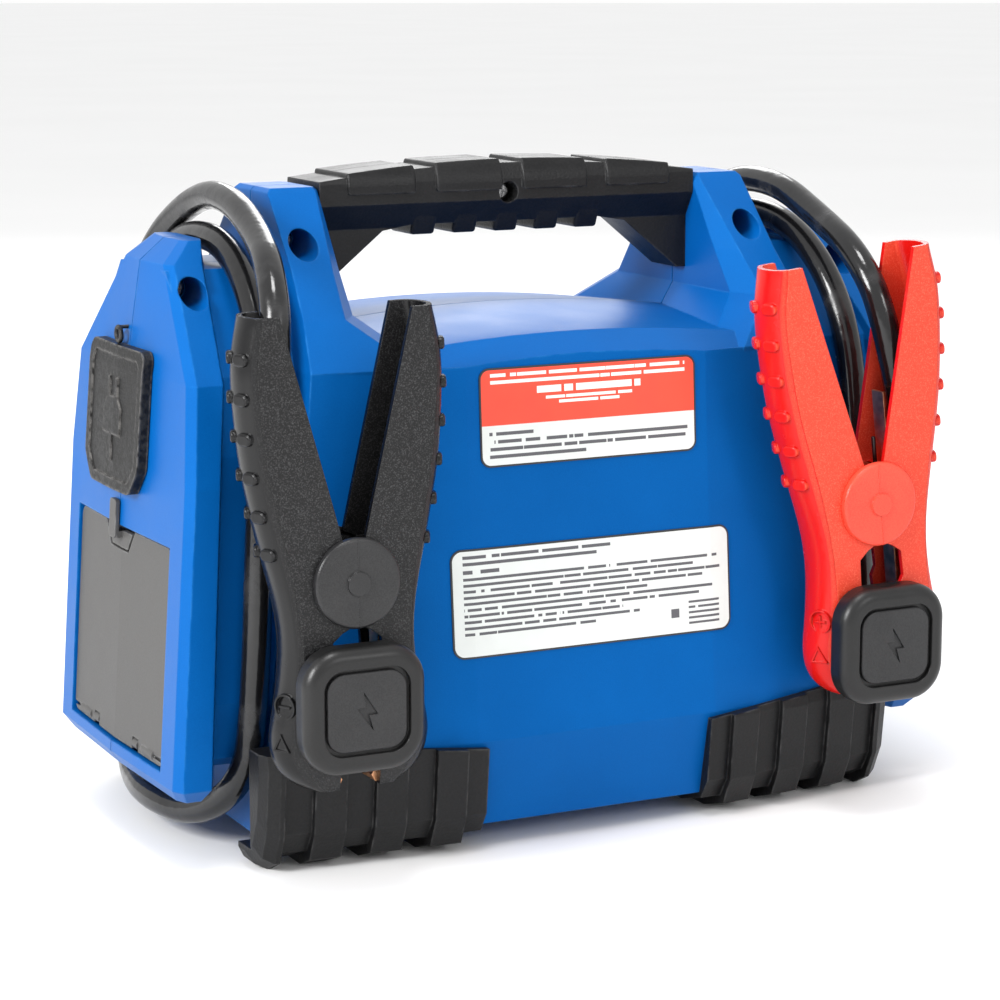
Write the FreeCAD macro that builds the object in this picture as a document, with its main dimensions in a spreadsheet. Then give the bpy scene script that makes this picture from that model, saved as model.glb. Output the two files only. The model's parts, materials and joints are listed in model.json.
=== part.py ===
"""Portable jump starter pack: two blue half shells shaped like a cable spool, a bolted-on grip,
rubber corner feet, two battery clamps hung on posts, and the parts it needs inside.

Frame: +Z up, origin on the ground under the centre of the joint between the two half shells.
+Y is the side with the labels and the clamps, -Y the side with the controls,
+X the end with the mains inlet and the hose compartment. All sizes are in millimetres.
"""
import FreeCAD, Part
import Sketcher
import math
import os
from FreeCAD import Placement, Rotation, Vector
from types import SimpleNamespace

os.makedirs("parts", exist_ok=True)
doc = FreeCAD.newDocument("JumpStarterPack")

# ---------------------------------------------------------------- driving dimensions
SIZES = {
    "wall": 3.0,                # thickness of the moulded shells
    "ground_gap": 9.0,          # underside of the shells above the ground
    "deck_crown": 192.5,        # top of the body between the towers, at its middle
    "deck_half": 66.0,          # half depth of the deck
    "deck_edge": 188.3,         # height of the deck's edge
    "crown_radius": 560.0,      # curvature of the deck from end to end
    "belt_height": 42.0,        # height of the crease round the body
    "belt_half": 88.5,          # half depth at the crease
    "flat_half": 50.0,          # half width of the flat middle of the long faces
    "side_taper": 7.0,          # how far the long faces fall back towards the ends
    "tower_top": 240.5,
    "tower_inner": 80.0,        # inner face of the towers, where the grip sits
    "tower_outer": 101.0,
    "pod_bottom": 26.0,
    "pod_top": 223.5,
    "core_half": 60.0,          # half depth of the winding core in the cable channel
    "core_top": 213.0,
    "core_bottom": 32.0,
    "grip_top": 247.0,
    "grip_half": 15.5,
    "grip_under": 224.5,
    "pad_pitch": 36.5,
    "pad_width": 28.0,
    "lug_pitch": 17.5,
    "foot_inner": 47.0,         # inner end of each rubber foot
    "foot_outer": 133.0,
    "foot_skin": 2.6,
    "rib_rise": 2.4,
    "rib_pitch": 23.0,
    "post_height": 68.5,        # height of the clamp posts
    "head_centre": 109.0,       # sideways place of the post heads
    "head_width": 46.0,
    "head_height": 45.0,
    "head_back": 111.0,
    "head_front": 121.5,
    "neck_radius": 5.1,
    "clamp_plane": 99.5,        # middle plane of both clamps
    "clamp_half": 10.5,         # half thickness of a clamp
    "pivot_radius": 3.0,
    "ear_radius": 14.0,
    "cap_radius": 16.0,
    "jaw_gap": 5.6,             # half gap between the copper jaws at rest
    "cable_diameter": 10.5,
    "door_half": 50.0,
    "door_low": 35.0,
    "door_high": 117.0,
    "door_thick": 2.4,
    "cover_width": 58.0,
    "cover_low": 131.0,
    "cover_high": 184.0,
    "cover_thick": 4.0,
    "panel_half": 66.0,
    "panel_low": 58.0,
    "panel_high": 166.0,
    "knob_radius": 17.0,
    "gauge_radius": 21.0,
    "label_thick": 0.4,
    "upper_label_half": 45.0,
    "lower_label_half": 58.5,
    "battery_width": 128.0,
    "battery_depth": 76.0,
    "battery_height": 82.0,
}

sheet = doc.addObject("Spreadsheet::Sheet", "Sizes")
for row, (alias, value) in enumerate(SIZES.items(), start=1):
    sheet.set("A%d" % row, alias.replace("_", " "))
    sheet.set("B%d" % row, str(value))
    sheet.setAlias("B%d" % row, alias)
doc.recompute()


class Dim(float):
    """A size that also carries the spreadsheet expression it comes from."""

    def __new__(cls, value, text):
        made = super().__new__(cls, value)
        made.text = text
        return made

    def __add__(self, other):
        return Dim(float(self) + float(other), "(%s + %s)" % (self.text, text_of(other)))

    def __radd__(self, other):
        return Dim(float(other) + float(self), "(%s + %s)" % (text_of(other), self.text))

    def __sub__(self, other):
        return Dim(float(self) - float(other), "(%s - %s)" % (self.text, text_of(other)))

    def __rsub__(self, other):
        return Dim(float(other) - float(self), "(%s - %s)" % (text_of(other), self.text))

    def __mul__(self, other):
        return Dim(float(self) * float(other), "(%s * %s)" % (self.text, text_of(other)))

    def __rmul__(self, other):
        return self * other

    def __truediv__(self, other):
        return Dim(float(self) / float(other), "(%s / %s)" % (self.text, text_of(other)))

    def __neg__(self):
        return Dim(-float(self), "(-%s)" % self.text)


def text_of(value):
    """The expression of a Dim, or a plain number in brackets."""
    if isinstance(value, Dim):
        return value.text
    return "(%s)" % float(value)


S = SimpleNamespace(**{alias: Dim(sheet.get(alias), "Sizes." + alias) for alias in SIZES})
nodes = {}


def bind(obj, prop, value):
    """Ties a property to the spreadsheet, or sets it when the value is a plain number."""
    if isinstance(value, Dim):
        obj.setExpression(prop, value.text)
    else:
        setattr(obj, prop, value)


def keep(label, obj):
    """Names an object as one of the pieces that are written out."""
    obj.Label = label
    nodes[label] = obj
    return obj


def feature(label, shape):
    """A piece whose shape is worked out with Part's own functions."""
    obj = doc.addObject("Part::Feature", label)
    obj.Shape = shape
    obj.Placement = shape.Placement
    return keep(label, obj)


# ---------------------------------------------------------------- parametric helpers
def origin_plane(body, role):
    """The body's own XY_Plane, XZ_Plane or YZ_Plane."""
    return next(item for item in body.Origin.OriginFeatures if item.Role == role)


def outline_sketch(body, role, points, circles=(), lift=0.0):
    """A sketch of one closed outline and any circles, every place tied to the spreadsheet.

    On XZ_Plane the sketch's axes are X and Z and its normal is -Y; on YZ_Plane they are Y and Z
    and the normal is +X; on XY_Plane they are X and Y and the normal is +Z.
    """
    sketch = body.newObject("Sketcher::SketchObject", body.Name + "_Sketch")
    sketch.AttachmentSupport = [(origin_plane(body, role), "")]
    sketch.MapMode = "FlatFace"
    bind_offset(sketch, lift)
    count = len(points)
    for index in range(count):
        start = Vector(float(points[index][0]), float(points[index][1]), 0)
        finish = points[(index + 1) % count]
        sketch.addGeometry(Part.LineSegment(start, Vector(float(finish[0]), float(finish[1]), 0)))
    for index in range(count):
        sketch.addConstraint(Sketcher.Constraint("Coincident", index, 2, (index + 1) % count, 1))
    for index, place in enumerate(points):
        tie_point(sketch, index, 1, place)
    for across, up, radius in circles:
        centre = Vector(float(across), float(up), 0)
        ring = sketch.addGeometry(Part.Circle(centre, Vector(0, 0, 1), float(radius)))
        tie_point(sketch, ring, 3, (across, up))
        tie_constraint(sketch, Sketcher.Constraint("Radius", ring, float(radius)), radius)
    return sketch


def bind_offset(sketch, lift):
    """Moves a sketch along its normal."""
    sketch.AttachmentOffset = Placement(Vector(0, 0, float(lift)), Rotation())
    if isinstance(lift, Dim):
        sketch.setExpression("AttachmentOffset.Base.z", lift.text)


def tie_point(sketch, geometry, point, place):
    """Holds one point of a sketch at a place given by two sizes."""
    for kind, value in (("DistanceX", place[0]), ("DistanceY", place[1])):
        constraint = Sketcher.Constraint(kind, -1, 1, geometry, point, float(value))
        tie_constraint(sketch, constraint, value)


def tie_constraint(sketch, constraint, value):
    """Adds a dimension to a sketch and ties it to the spreadsheet."""
    index = sketch.addConstraint(constraint)
    if isinstance(value, Dim):
        sketch.setExpression("Constraints[%d]" % index, value.text)


def pad(body, sketch, length, both_ways=False, flip=False):
    """Raises a sketch along its normal, against it, or equally both ways."""
    made = body.newObject("PartDesign::Pad", body.Name + "_Pad")
    made.Profile = sketch
    bind(made, "Length", length)
    made.Midplane = both_ways
    made.Reversed = flip
    sketch.Visibility = False
    doc.recompute()
    return made


def pocket(body, sketch, depth, flip=False):
    """Cuts a sketch into the solid and makes sure that it removed something."""
    before = body.Shape.Volume
    made = body.newObject("PartDesign::Pocket", body.Name + "_Pocket")
    made.Profile = sketch
    bind(made, "Length", depth)
    made.Reversed = flip
    doc.recompute()
    if body.Shape.Volume > before - 0.5:
        raise ValueError("pocket in %s cuts nothing" % body.Name)
    return made


def round_edges(body, chosen, radius):
    """Rounds the edges of the body's tip that a test picks out."""
    tip = body.Tip
    names = ["Edge%d" % (i + 1) for i, edge in enumerate(tip.Shape.Edges) if chosen(edge)]
    made = body.newObject("PartDesign::Fillet", body.Name + "_Fillet")
    made.Base = (tip, names)
    bind(made, "Radius", radius)
    doc.recompute()
    return made


def along(axis):
    """A test for straight edges that run along an axis."""
    def test(edge):
        if edge.Curve.TypeId != "Part::GeomLine":
            return False
        return abs(abs(edge.Curve.Direction.dot(axis)) - 1) < 1e-6
    return test


def on_plane(axis, value):
    """A test for edges that lie in a plane square to an axis."""
    def test(edge):
        return all(abs(v.Point.dot(axis) - value) < 1e-4 for v in edge.Vertexes)
    return test


def new_body(label):
    """A PartDesign body kept as a piece."""
    return keep(label, doc.addObject("PartDesign::Body", label))


def rectangle(low_across, low_up, high_across, high_up):
    """The four corners of an upright rectangle."""
    return [(low_across, low_up), (high_across, low_up), (high_across, high_up), (low_across, high_up)]


def box(label, low, lengths):
    """A Part::Box tied to the spreadsheet."""
    made = doc.addObject("Part::Box", label)
    for prop, value in zip(("Length", "Width", "Height"), lengths):
        bind(made, prop, value)
    made.Placement = Placement(Vector(*[float(v) for v in low]), Rotation())
    for letter, value in zip("xyz", low):
        if isinstance(value, Dim):
            made.setExpression("Placement.Base." + letter, value.text)
    return made


def cylinder(label, base, direction, radius, length):
    """A Part::Cylinder tied to the spreadsheet."""
    made = doc.addObject("Part::Cylinder", label)
    bind(made, "Radius", radius)
    bind(made, "Height", length)
    turn = Rotation(Vector(0, 0, 1), Vector(*direction))
    made.Placement = Placement(Vector(*[float(v) for v in base]), turn)
    return made


def joined(label, pieces):
    """A Part::MultiFuse of several objects."""
    made = doc.addObject("Part::MultiFuse", label)
    made.Shapes = pieces
    made.Refine = True
    return made


def polygon(points):
    """A closed wire through points."""
    return Part.makePolygon([Vector(*p) for p in points] + [Vector(*points[0])])


def prism(points, push):
    """A polygon pushed along a vector."""
    return Part.Face(polygon(points)).extrude(Vector(*push))


def ruled(sections):
    """A solid with straight walls through polygons that have the same number of corners."""
    return Part.makeLoft([polygon(section) for section in sections], True, True)


def block(low, high):
    """A box between two corners."""
    return Part.makeBox(*[b - a for a, b in zip(low, high)], Vector(*low))


def rod(start, direction, radius, length):
    """A plain round bar."""
    return Part.makeCylinder(radius, length, Vector(*start), Vector(*direction))


def fuse(shapes):
    """One shape from several, with needless edges removed."""
    return shapes[0].multiFuse(shapes[1:]).removeSplitter()


def mirrored_x(shape):
    """The same piece at the other end."""
    return shape.mirror(Vector(0, 0, 0), Vector(1, 0, 0))


def mirrored_y(shape):
    """The same piece on the other long side."""
    return shape.mirror(Vector(0, 0, 0), Vector(0, 1, 0))


def rounded_prism(half_across, half_up, corner, centre, push):
    """A rounded rectangle in the XZ plane, centred on a place and pushed along Y."""
    x, y, z = centre
    solid = block((x - half_across, min(y, y + push), z - half_up),
                  (x + half_across, max(y, y + push), z + half_up))
    corners = [edge for edge in solid.Edges if along(Vector(0, 1, 0))(edge)]
    return solid.makeFillet(corner, corners)


# ---------------------------------------------------------------- form of the moulded body
DOWN_SLOPE = 0.92           # how fast the towers' long faces fall away below their tops


def body_level(height, half, end, fall, inset):
    """One horizontal outline of the body: flat in the middle, falling back towards the ends."""
    far = end - inset
    deep = half - inset
    back = deep - fall
    flat = float(S.flat_half)
    return [(-far, -back, height), (-flat, -deep, height), (flat, -deep, height), (far, -back, height),
            (far, back, height), (flat, deep, height), (-flat, deep, height), (-far, back, height)]


def lower_body(inset):
    """The body from its underside up to the shoulders."""
    fall = float(S.side_taper)
    base = float(S.ground_gap) + inset
    levels = [
        body_level(base, 82, 126, fall, inset),
        body_level(float(S.belt_height), float(S.belt_half), 121.8, fall, inset),
        body_level(73, 85, 118.5, fall, inset),
        body_level(150, 79, 110, fall, inset),
        body_level(179, 77.3, 107.3, fall, inset),
    ]
    return ruled(levels)


def crown_roller(low, high, inset):
    """A huge cylinder whose top line runs through two places (y, z): the curved deck lies on it."""
    radius = float(S.crown_radius)
    run = Vector(0, high[0] - low[0], high[1] - low[1]).normalize()
    normal = Vector(0, -run.z, run.y)
    start = Vector(0, low[0], low[1]) - normal * (radius + inset) - run * 150
    return Part.makeCylinder(radius, 320, start, run)


def deck(inset):
    """The crowned top between the towers, one half roof for each shell."""
    width = 76.0 - inset
    half = 77.3 - inset
    crown, edge = float(S.deck_crown), float(S.deck_edge)
    quarter = prism([(-width, 0, 170), (width, 0, 170), (width, half - 3, 170), (float(S.flat_half), half, 170),
                     (-float(S.flat_half), half, 170), (-width, half - 3, 170)], (0, 0, 30))
    roof = quarter.common(crown_roller((0, crown), (float(S.deck_half), edge), inset))
    roof = roof.common(crown_roller((float(S.deck_half), edge), (77.3, 181.5), inset))
    return roof.fuse(mirrored_y(roof))


def tower_level(height, outer, inner_mid, inner_side, half, half_inner, bevel, inset):
    """One horizontal outline of the tower at the +X end."""
    return [(outer - inset, -half + inset, height), (outer - inset, half - inset, height),
            (inner_side + bevel + inset, half_inner - inset, height),
            (inner_side + inset, half_inner - 1.5 * bevel - inset, height), (inner_mid + inset, 0, height),
            (inner_side + inset, -half_inner + 1.5 * bevel + inset, height),
            (inner_side + bevel + inset, -half_inner + inset, height)]


def tower(inset):
    """The tower that carries one end of the grip."""
    top = float(S.tower_top) - inset
    outer, inner = float(S.tower_outer), float(S.tower_inner)
    shoulder = top - 1.5

    def half_at(height):
        return 16.5 + (239 - inset - height) * DOWN_SLOPE

    levels = [tower_level(top, outer - 1.5, inner + 1.5, inner + 1.5, 15, 15, 1.5, inset),
              tower_level(shoulder, outer, inner, inner, 16.5, 16.5, 2, inset),
              tower_level(212, outer + 1, inner, inner, half_at(212), half_at(212), 6, inset),
              tower_level(196, outer + 3, inner, inner, half_at(196), half_at(196) + 1, 8, inset),
              tower_level(179, 107.3, 70, 60, 70.3, 75.6, 8, inset),
              tower_level(172, 106, 70, 60, 69, 74, 8, inset)]
    return ruled(levels)


def pod_level(height, outer, inner, half, inset):
    """One horizontal outline of the end pod at +X, creased along its middle."""
    far, near, deep = outer - inset, inner + inset, half - inset
    corner = min(4.0, 0.3 * (far - near))
    return [(far, 0, height), (far - 0.4 * corner, deep - 5, height), (far - corner, deep, height),
            (near + 0.7 * corner, deep, height), (near, deep - 6, height), (near, 6 - deep, height),
            (near + 0.7 * corner, -deep, height), (far - corner, -deep, height),
            (far - 0.4 * corner, 5 - deep, height)]


def pod(inset):
    """The flange at the +X end that keeps the cable in its channel."""
    low = float(S.pod_bottom) + inset
    top = float(S.pod_top) - inset
    levels = [pod_level(low, 157.5, 146, 62, inset), pod_level(low + 5, 161, 143.5, 67, inset),
              pod_level(140, 153.8, 138, 66.5, inset), pod_level(176, 151, 134.5, 62, inset),
              pod_level(215, 145, 127.5, 25, inset), pod_level(top - 0.5, 135.5, 126, 18, inset)]
    return ruled(levels)


def core(inset):
    """The winding core between body and pod at the +X end: the floor of the cable channel."""
    half = float(S.core_half) - inset
    top = float(S.core_top) - inset
    low = float(S.core_bottom) + inset
    side = [(24, top), (half - 4, 178 - inset), (half, 150), (half, 60), (half - 8, low + 6), (half - 20, low)]
    outline = [(90, y, z) for y, z in side] + [(90, -y, z) for y, z in reversed(side)]
    return prism(outline, (54 - inset * 0.3, 0, 0))


def body_form(inset):
    """The whole moulded form, drawn in by the inset."""
    ends = [tower(inset), pod(inset), core(inset)]
    return fuse([lower_body(inset), deck(inset)] + ends + [mirrored_x(end) for end in ends])


outer_form = body_form(0.0)
hollow_form = body_form(float(S.wall))
skin_form = outer_form.cut(hollow_form)

TOWER_SCREW = (94.0, 221.0)     # places (x, z) of the screws that join the shells
POD_SCREW = (137.0, 205.5)
FOOT_SCREW = (84.0, 26.0)
SCREW_PLACES = [(side * x, z) for x, z in (TOWER_SCREW, POD_SCREW, FOOT_SCREW) for side in (1, -1)]
BORE_RADIUS = 5.6               # counterbore that takes the screw's head
HEAD_SEAT = 10.0                # distance of the head's seat behind the shells' joint


def half_space(side):
    """Everything on one side of the joint between the shells."""
    return block((-200, min(0, side * 200), -10), (200, max(0, side * 200), 300))


def long_face(height):
    """Half depth of the body's long face at its flat middle, for a height."""
    levels = [(9.0, 82.0), (42.0, 88.5), (73.0, 85.0), (150.0, 79.0), (179.0, 77.3)]
    for (low, near), (high, far) in zip(levels, levels[1:]):
        if height <= high:
            return near + (far - near) * (height - low) / (high - low)
    return levels[-1][1]


def screw_bosses(side):
    """Bosses that take the joining screws, trimmed to the inside of the form."""
    radius = 8.2 if side > 0 else 5.5
    posts = [rod((x, 0, z), (0, side, 0), radius, 95) for x, z in SCREW_PLACES]
    return fuse(posts).common(outer_form)


def seam_groove():
    """The fine open line where the two shells meet."""
    ring = outer_form.cut(body_form(0.7))
    return ring.common(block((-200, -0.25, -10), (200, 0.25, 300)))


# ---------------------------------------------------------------- compartment and inlet at +X
LINER_WALL = 1.8
LINER_DEEP = 78.0               # inner end of the hose compartment
LINER_HALF = 44.0
LINER_LOW = 42.0
LINER_HIGH = 112.0
liner_outer = block((LINER_DEEP, -LINER_HALF, LINER_LOW), (170, LINER_HALF, LINER_HIGH))
liner_inner = block((LINER_DEEP + LINER_WALL, -LINER_HALF + LINER_WALL, LINER_LOW + LINER_WALL),
                    (170, LINER_HALF - LINER_WALL, LINER_HIGH - LINER_WALL))
OUTER_SIDE = 149.3              # everything beyond this belongs to the +X pod's outer wall


def pod_face(offset, low, high, half):
    """A slab that follows the creased outer face of the +X pod between two depths."""
    near = pod(offset[0]).cut(pod(offset[1]))
    return near.common(block((OUTER_SIDE, -half, low), (170, half, high)))


front = fuse([skin_form.common(half_space(-1)), screw_bosses(-1)])
rear = fuse([skin_form.common(half_space(1)), screw_bosses(1)])
for x, z in SCREW_PLACES:
    rear = rear.cut(rod((x, HEAD_SEAT, z), (0, 1, 0), BORE_RADIUS, 90))
    rear = rear.cut(rod((x, -1, z), (0, 1, 0), 2.3, 20))
    front = front.cut(rod((x, 1, z), (0, -1, 0), 1.95, 19))

door_recess = pod_face((-0.1, 3.2), float(S.door_low), float(S.door_high), float(S.door_half))
liner_space = liner_outer.common(outer_form)
inlet_hole = block((120, -17, 144), (170, 15, 170))
front_cutters = [door_recess, liner_space, inlet_hole]
groove = seam_groove()

PANEL_LEAN = math.degrees(math.atan2(long_face(float(S.panel_low)) - long_face(float(S.panel_high)),
                                     float(S.panel_high) - float(S.panel_low)))
panel_side = [(-long_face(z) + depth, z) for depth, z in
              ((1.0, float(S.panel_low)), (4.0, float(S.panel_low)), (4.0, float(S.panel_high)),
               (1.0, float(S.panel_high)))]
panel_window = prism([(-float(S.panel_half), -100, float(S.panel_low)), (float(S.panel_half), -100,
                     float(S.panel_low)), (float(S.panel_half), -100, float(S.panel_high)),
                     (-float(S.panel_half), -100, float(S.panel_high))], (0, 40, 0))
front_cutters.append(panel_window)

GLAND_X = 124.0                 # where a cable leaves the core's front wall
GLAND_Z = 92.0
gland_hole = rod((GLAND_X, -50, GLAND_Z), (0, -1, 0), 6.2, 14)
front_cutters += [gland_hole, mirrored_x(gland_hole)]
NECKS = {"black": 107.5, "red": -112.0}
for place in NECKS.values():
    rear = rear.cut(rod((place, 60, float(S.post_height)), (0, 1, 0), 6.0, 40))

for tool in front_cutters + [groove]:
    front = front.cut(tool)
for tool in (door_recess, liner_space, inlet_hole, groove):
    rear = rear.cut(tool)


# ---------------------------------------------------------------- grip
def grip_top_at(across, rise=0.0):
    """Height of the grip's arched top."""
    return float(S.grip_top) + rise - across * across / 1300.0


def grip_body():
    """The bar of the grip with its gussets, before it is split."""
    end = float(S.tower_inner) - 0.1
    half = float(S.grip_half)
    under = float(S.grip_under)
    top = [Vector(x, 0, grip_top_at(x)) for x in (-end, 0, end)]
    edges = [Part.Arc(*top).toShape()]
    lower = [(end, grip_top_at(end)), (end, 203), (76, 203), (52, under - 2), (40, under),
             (-40, under), (-52, under - 2), (-76, 203), (-end, 203), (-end, grip_top_at(end))]
    edges += [Part.makeLine(Vector(a[0], 0, a[1]), Vector(b[0], 0, b[1])) for a, b in zip(lower, lower[1:])]
    bar = Part.Face(Part.Wire(edges)).extrude(Vector(0, 2 * half, 0))
    bar.translate(Vector(0, -half, 0))
    section = [(-90, half - 6.5, 253), (-90, half - 1.5, 247.5), (-90, half, 241), (-90, half, 233),
               (-90, half - 5.5, under - 1), (-90, half - 5.5, 198)]
    outline = section + [(-90, -y, z) for _, y, z in reversed(section)]
    return bar.common(prism(outline, (180, 0, 0)))


def grip_pad(centre):
    """One raised thumb pad that wraps over the top of the grip."""
    half = float(S.grip_half) + 1.5
    width = float(S.pad_width) / 2
    left = centre - width
    corners = [Vector(left, y, z) for y, z in ((half, 237), (half, 240), (half - 2.3, 246.6), (half - 8, 251.5))]
    far_corners = [Vector(left, -corner.y, corner.z) for corner in corners]
    edges = [Part.makeLine(corners[0], corners[1]), Part.Arc(*corners[1:]).toShape(),
             Part.makeLine(corners[3], far_corners[3]), Part.Arc(*reversed(far_corners[1:])).toShape(),
             Part.makeLine(far_corners[1], far_corners[0]), Part.makeLine(far_corners[0], corners[0])]
    strip = Part.Face(Part.Wire(edges)).extrude(Vector(2 * width, 0, 0))
    roof = Part.makeCylinder(650, 60, Vector(0, -30, float(S.grip_top) + 1.5 - 650), Vector(0, 1, 0))
    strip = strip.common(roof)
    sides = [edge for edge in strip.Edges if on_plane(Vector(1, 0, 0), centre - width)(edge)
             or on_plane(Vector(1, 0, 0), centre + width)(edge)]
    return strip.makeFillet(1.2, sides)


def finger_lug(centre):
    """One raised finger stop under the grip."""
    half = float(S.grip_half) - 1.5
    lug = prism([(centre, half, 231.5), (centre, half - 4.6, 220.5), (centre, 4.6 - half, 220.5),
                 (centre, -half, 231.5)], (10, 0, 0))
    lug.translate(Vector(-5, 0, 0))
    return lug.makeFillet(1.4, lug.Edges)


def grip():
    """The whole grip: bar, four pads and five finger stops."""
    pads = [grip_pad((index - 1.5) * float(S.pad_pitch)) for index in range(4)]
    lugs = [finger_lug((index - 2) * float(S.lug_pitch)) for index in range(5)]
    whole = fuse([grip_body()] + pads + lugs)
    spigots = [block((side * 79.9 - 1.5, -8, 212), (side * 79.9 + 1.5, 8, 238)) for side in (1, -1)]
    return fuse([whole] + spigots)


whole_grip = grip()
spigot_sockets = fuse([block((side * 79.9 - 3, -8.2, 211.8), (side * 79.9 + 1.8, 8.2, 238.2)) for side in (1, -1)])
GRIP_SCREW = (1.5, 235.8)
grip_bore = rod((GRIP_SCREW[0], 7, GRIP_SCREW[1]), (0, 1, 0), 4.0, 12)
grip_clearance = rod((GRIP_SCREW[0], -1, GRIP_SCREW[1]), (0, 1, 0), 2.2, 12)
grip_pilot = rod((GRIP_SCREW[0], -9, GRIP_SCREW[1]), (0, 1, 0), 1.85, 12)
grip_groove = block((-78, -0.2, 244.5), (78, 0.2, 256))
feature("grip_rear", whole_grip.common(half_space(1)).cut(grip_bore).cut(grip_clearance).cut(grip_groove))
feature("grip_front", whole_grip.common(half_space(-1)).cut(grip_pilot).cut(grip_groove))


def screw(base, direction, shank, length, head, head_height):
    """A pan-head screw with a cross recess; the base is the seat under its head."""
    out = Vector(*direction)
    seat = Vector(*base)
    body = rod(seat - out * length, direction, shank, length)
    cap = Part.makeCylinder(head, head_height, seat, out)
    rim = [edge for edge in cap.Edges if edge.Curve.TypeId == "Part::GeomCircle"
           and (edge.Curve.Center - seat).Length > head_height / 2]
    cap = cap.makeFillet(head_height * 0.55, rim)
    mark = head * 0.62
    width = head * 0.16
    cross = [block((-mark, -width, 0), (mark, width, head_height)), block((-width, -mark, 0),
             (width, mark, head_height))]
    turn = Placement(seat + out * (head_height * 0.45), Rotation(Vector(0, 0, 1), out))
    for slot in cross:
        slot.Placement = turn
        cap = cap.cut(slot)
    return body.fuse(cap).removeSplitter()


feature("grip_screw", screw((GRIP_SCREW[0], 7, GRIP_SCREW[1]), (0, 1, 0), 1.8, 14, 3.4, 2.2))
feature("shell_screws", Part.makeCompound([screw((x, HEAD_SEAT, z), (0, 1, 0), 1.9, 24, 4.6, 3.0)
                                           for x, z in SCREW_PLACES]))
rear = rear.cut(spigot_sockets)
front = front.cut(spigot_sockets)


# ---------------------------------------------------------------- rubber feet
def foot_level(across, shrink, rise):
    """One upright outline of a foot's outside, at a place along X."""
    fall = float(S.side_taper) * max(0.0, across - float(S.flat_half)) / 74.0
    out = float(S.foot_skin) + rise - shrink - fall
    low = 3.0 - rise * 1.25 + shrink
    return [(across, 50, low), (across, 68 + rise - shrink, low), (across, 80.5 + out, low + 4),
            (across, 85.5 + out, 15 + shrink), (across, 88.2 + out, float(S.belt_height) - 2),
            (across, 86.5 + out, 52), (across, 50, 52)]


def foot_layer(rise, start, finish):
    """A stretch of a foot's outside; its outer end is rounded off."""
    end = float(S.foot_outer)
    places = [(start, 0.0)] + [(x, 0.0) for x in (float(S.flat_half),) if start < x < finish]
    if finish < end - 6:
        places.append((finish, 0.0))
    else:
        places += [(end - 6, 0.0), (end - 2, 2.0), (end, 6.0)]
    return ruled([foot_level(x, shrink, rise) for x, shrink in places])


def foot():
    """The rubber foot at the +X, +Y corner, with its raised ribs."""
    inner = float(S.foot_inner)
    pitch = float(S.rib_pitch)
    base = foot_layer(0.0, inner, float(S.foot_outer))
    ribs = [foot_layer(float(S.rib_rise), inner + 9 + index * pitch, inner + 21 + index * pitch)
            for index in range(4)]
    ribs[3] = foot_layer(float(S.rib_rise), inner + 9 + 3 * pitch, inner + 16 + 3 * pitch)
    rubber = fuse([base] + ribs)
    slope = prism([(inner - 5, 40, 39.5), (104, 40, 45.5), (150, 40, 45.5), (150, 40, 80), (inner - 5, 40, 80)],
                  (0, 80, 0))
    rubber = rubber.cut(slope).cut(block((0, 40, -5), (200, 58, 60)))
    lane = block((118, 40, 8), (136, 70, 60))
    return rubber.cut(lower_body(0.0)).cut(lane)


foot_shape = foot()
feature("foot_rear_left", foot_shape)
feature("foot_rear_right", mirrored_x(foot_shape))
feature("foot_front_left", mirrored_y(foot_shape))
feature("foot_front_right", mirrored_x(mirrored_y(foot_shape)))


# ---------------------------------------------------------------- clamp posts
def bolt_mark(scale):
    """A plain zigzag bolt outline round the origin, in X and Z."""
    corners = [(1.6, 7.5), (-4.2, -1.3), (-0.6, -1.3), (-2.4, -7.5), (4.0, 1.5), (0.5, 1.5)]
    return [(x * scale, 0, z * scale) for x, z in corners]


def clamp_post(neck, centre):
    """The post that a clamp bites on: neck, inner flange and cushion-shaped head."""
    height = float(S.post_height)
    back, face = float(S.head_back), float(S.head_front)
    head = rounded_prism(float(S.head_width) / 2, float(S.head_height) / 2, 14, (centre, back, height), face - back)
    rims = [edge for edge in head.Edges if on_plane(Vector(0, 1, 0), face)(edge)]
    head = head.makeFillet(4.5, rims)
    rims = [edge for edge in head.Edges if on_plane(Vector(0, 1, 0), back)(edge)]
    head = head.makeFillet(1.5, rims)
    seat = rounded_prism(16.4, 15.4, 7.6, (centre, face - 2.2, height), 6)
    stem = rod((neck, 72, height), (0, 1, 0), float(S.neck_radius), back - 71)
    flange = rod((neck, 70.5, height), (0, 1, 0), 10, 3)
    return fuse([head.cut(seat), stem, flange])


def post_badge(centre):
    """The plate let into the head, with a sunken bolt mark."""
    height = float(S.post_height)
    face = float(S.head_front)
    plate = rounded_prism(15.0, 14.0, 6.6, (centre, face - 2.2, height), 1.9)
    rims = [edge for edge in plate.Edges if on_plane(Vector(0, 1, 0), face - 0.3)(edge)]
    plate = plate.makeFillet(0.7, rims)
    mark = prism(bolt_mark(0.95), (0, 4, 0))
    mark.translate(Vector(centre, face - 1.2, height))
    return plate.cut(mark)


HEADS = {"black": float(S.head_centre), "red": -float(S.head_centre)}
for colour, centre in HEADS.items():
    feature("%s_clamp_post" % colour, clamp_post(NECKS[colour], centre))
    feature("%s_post_badge" % colour, post_badge(centre))


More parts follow.
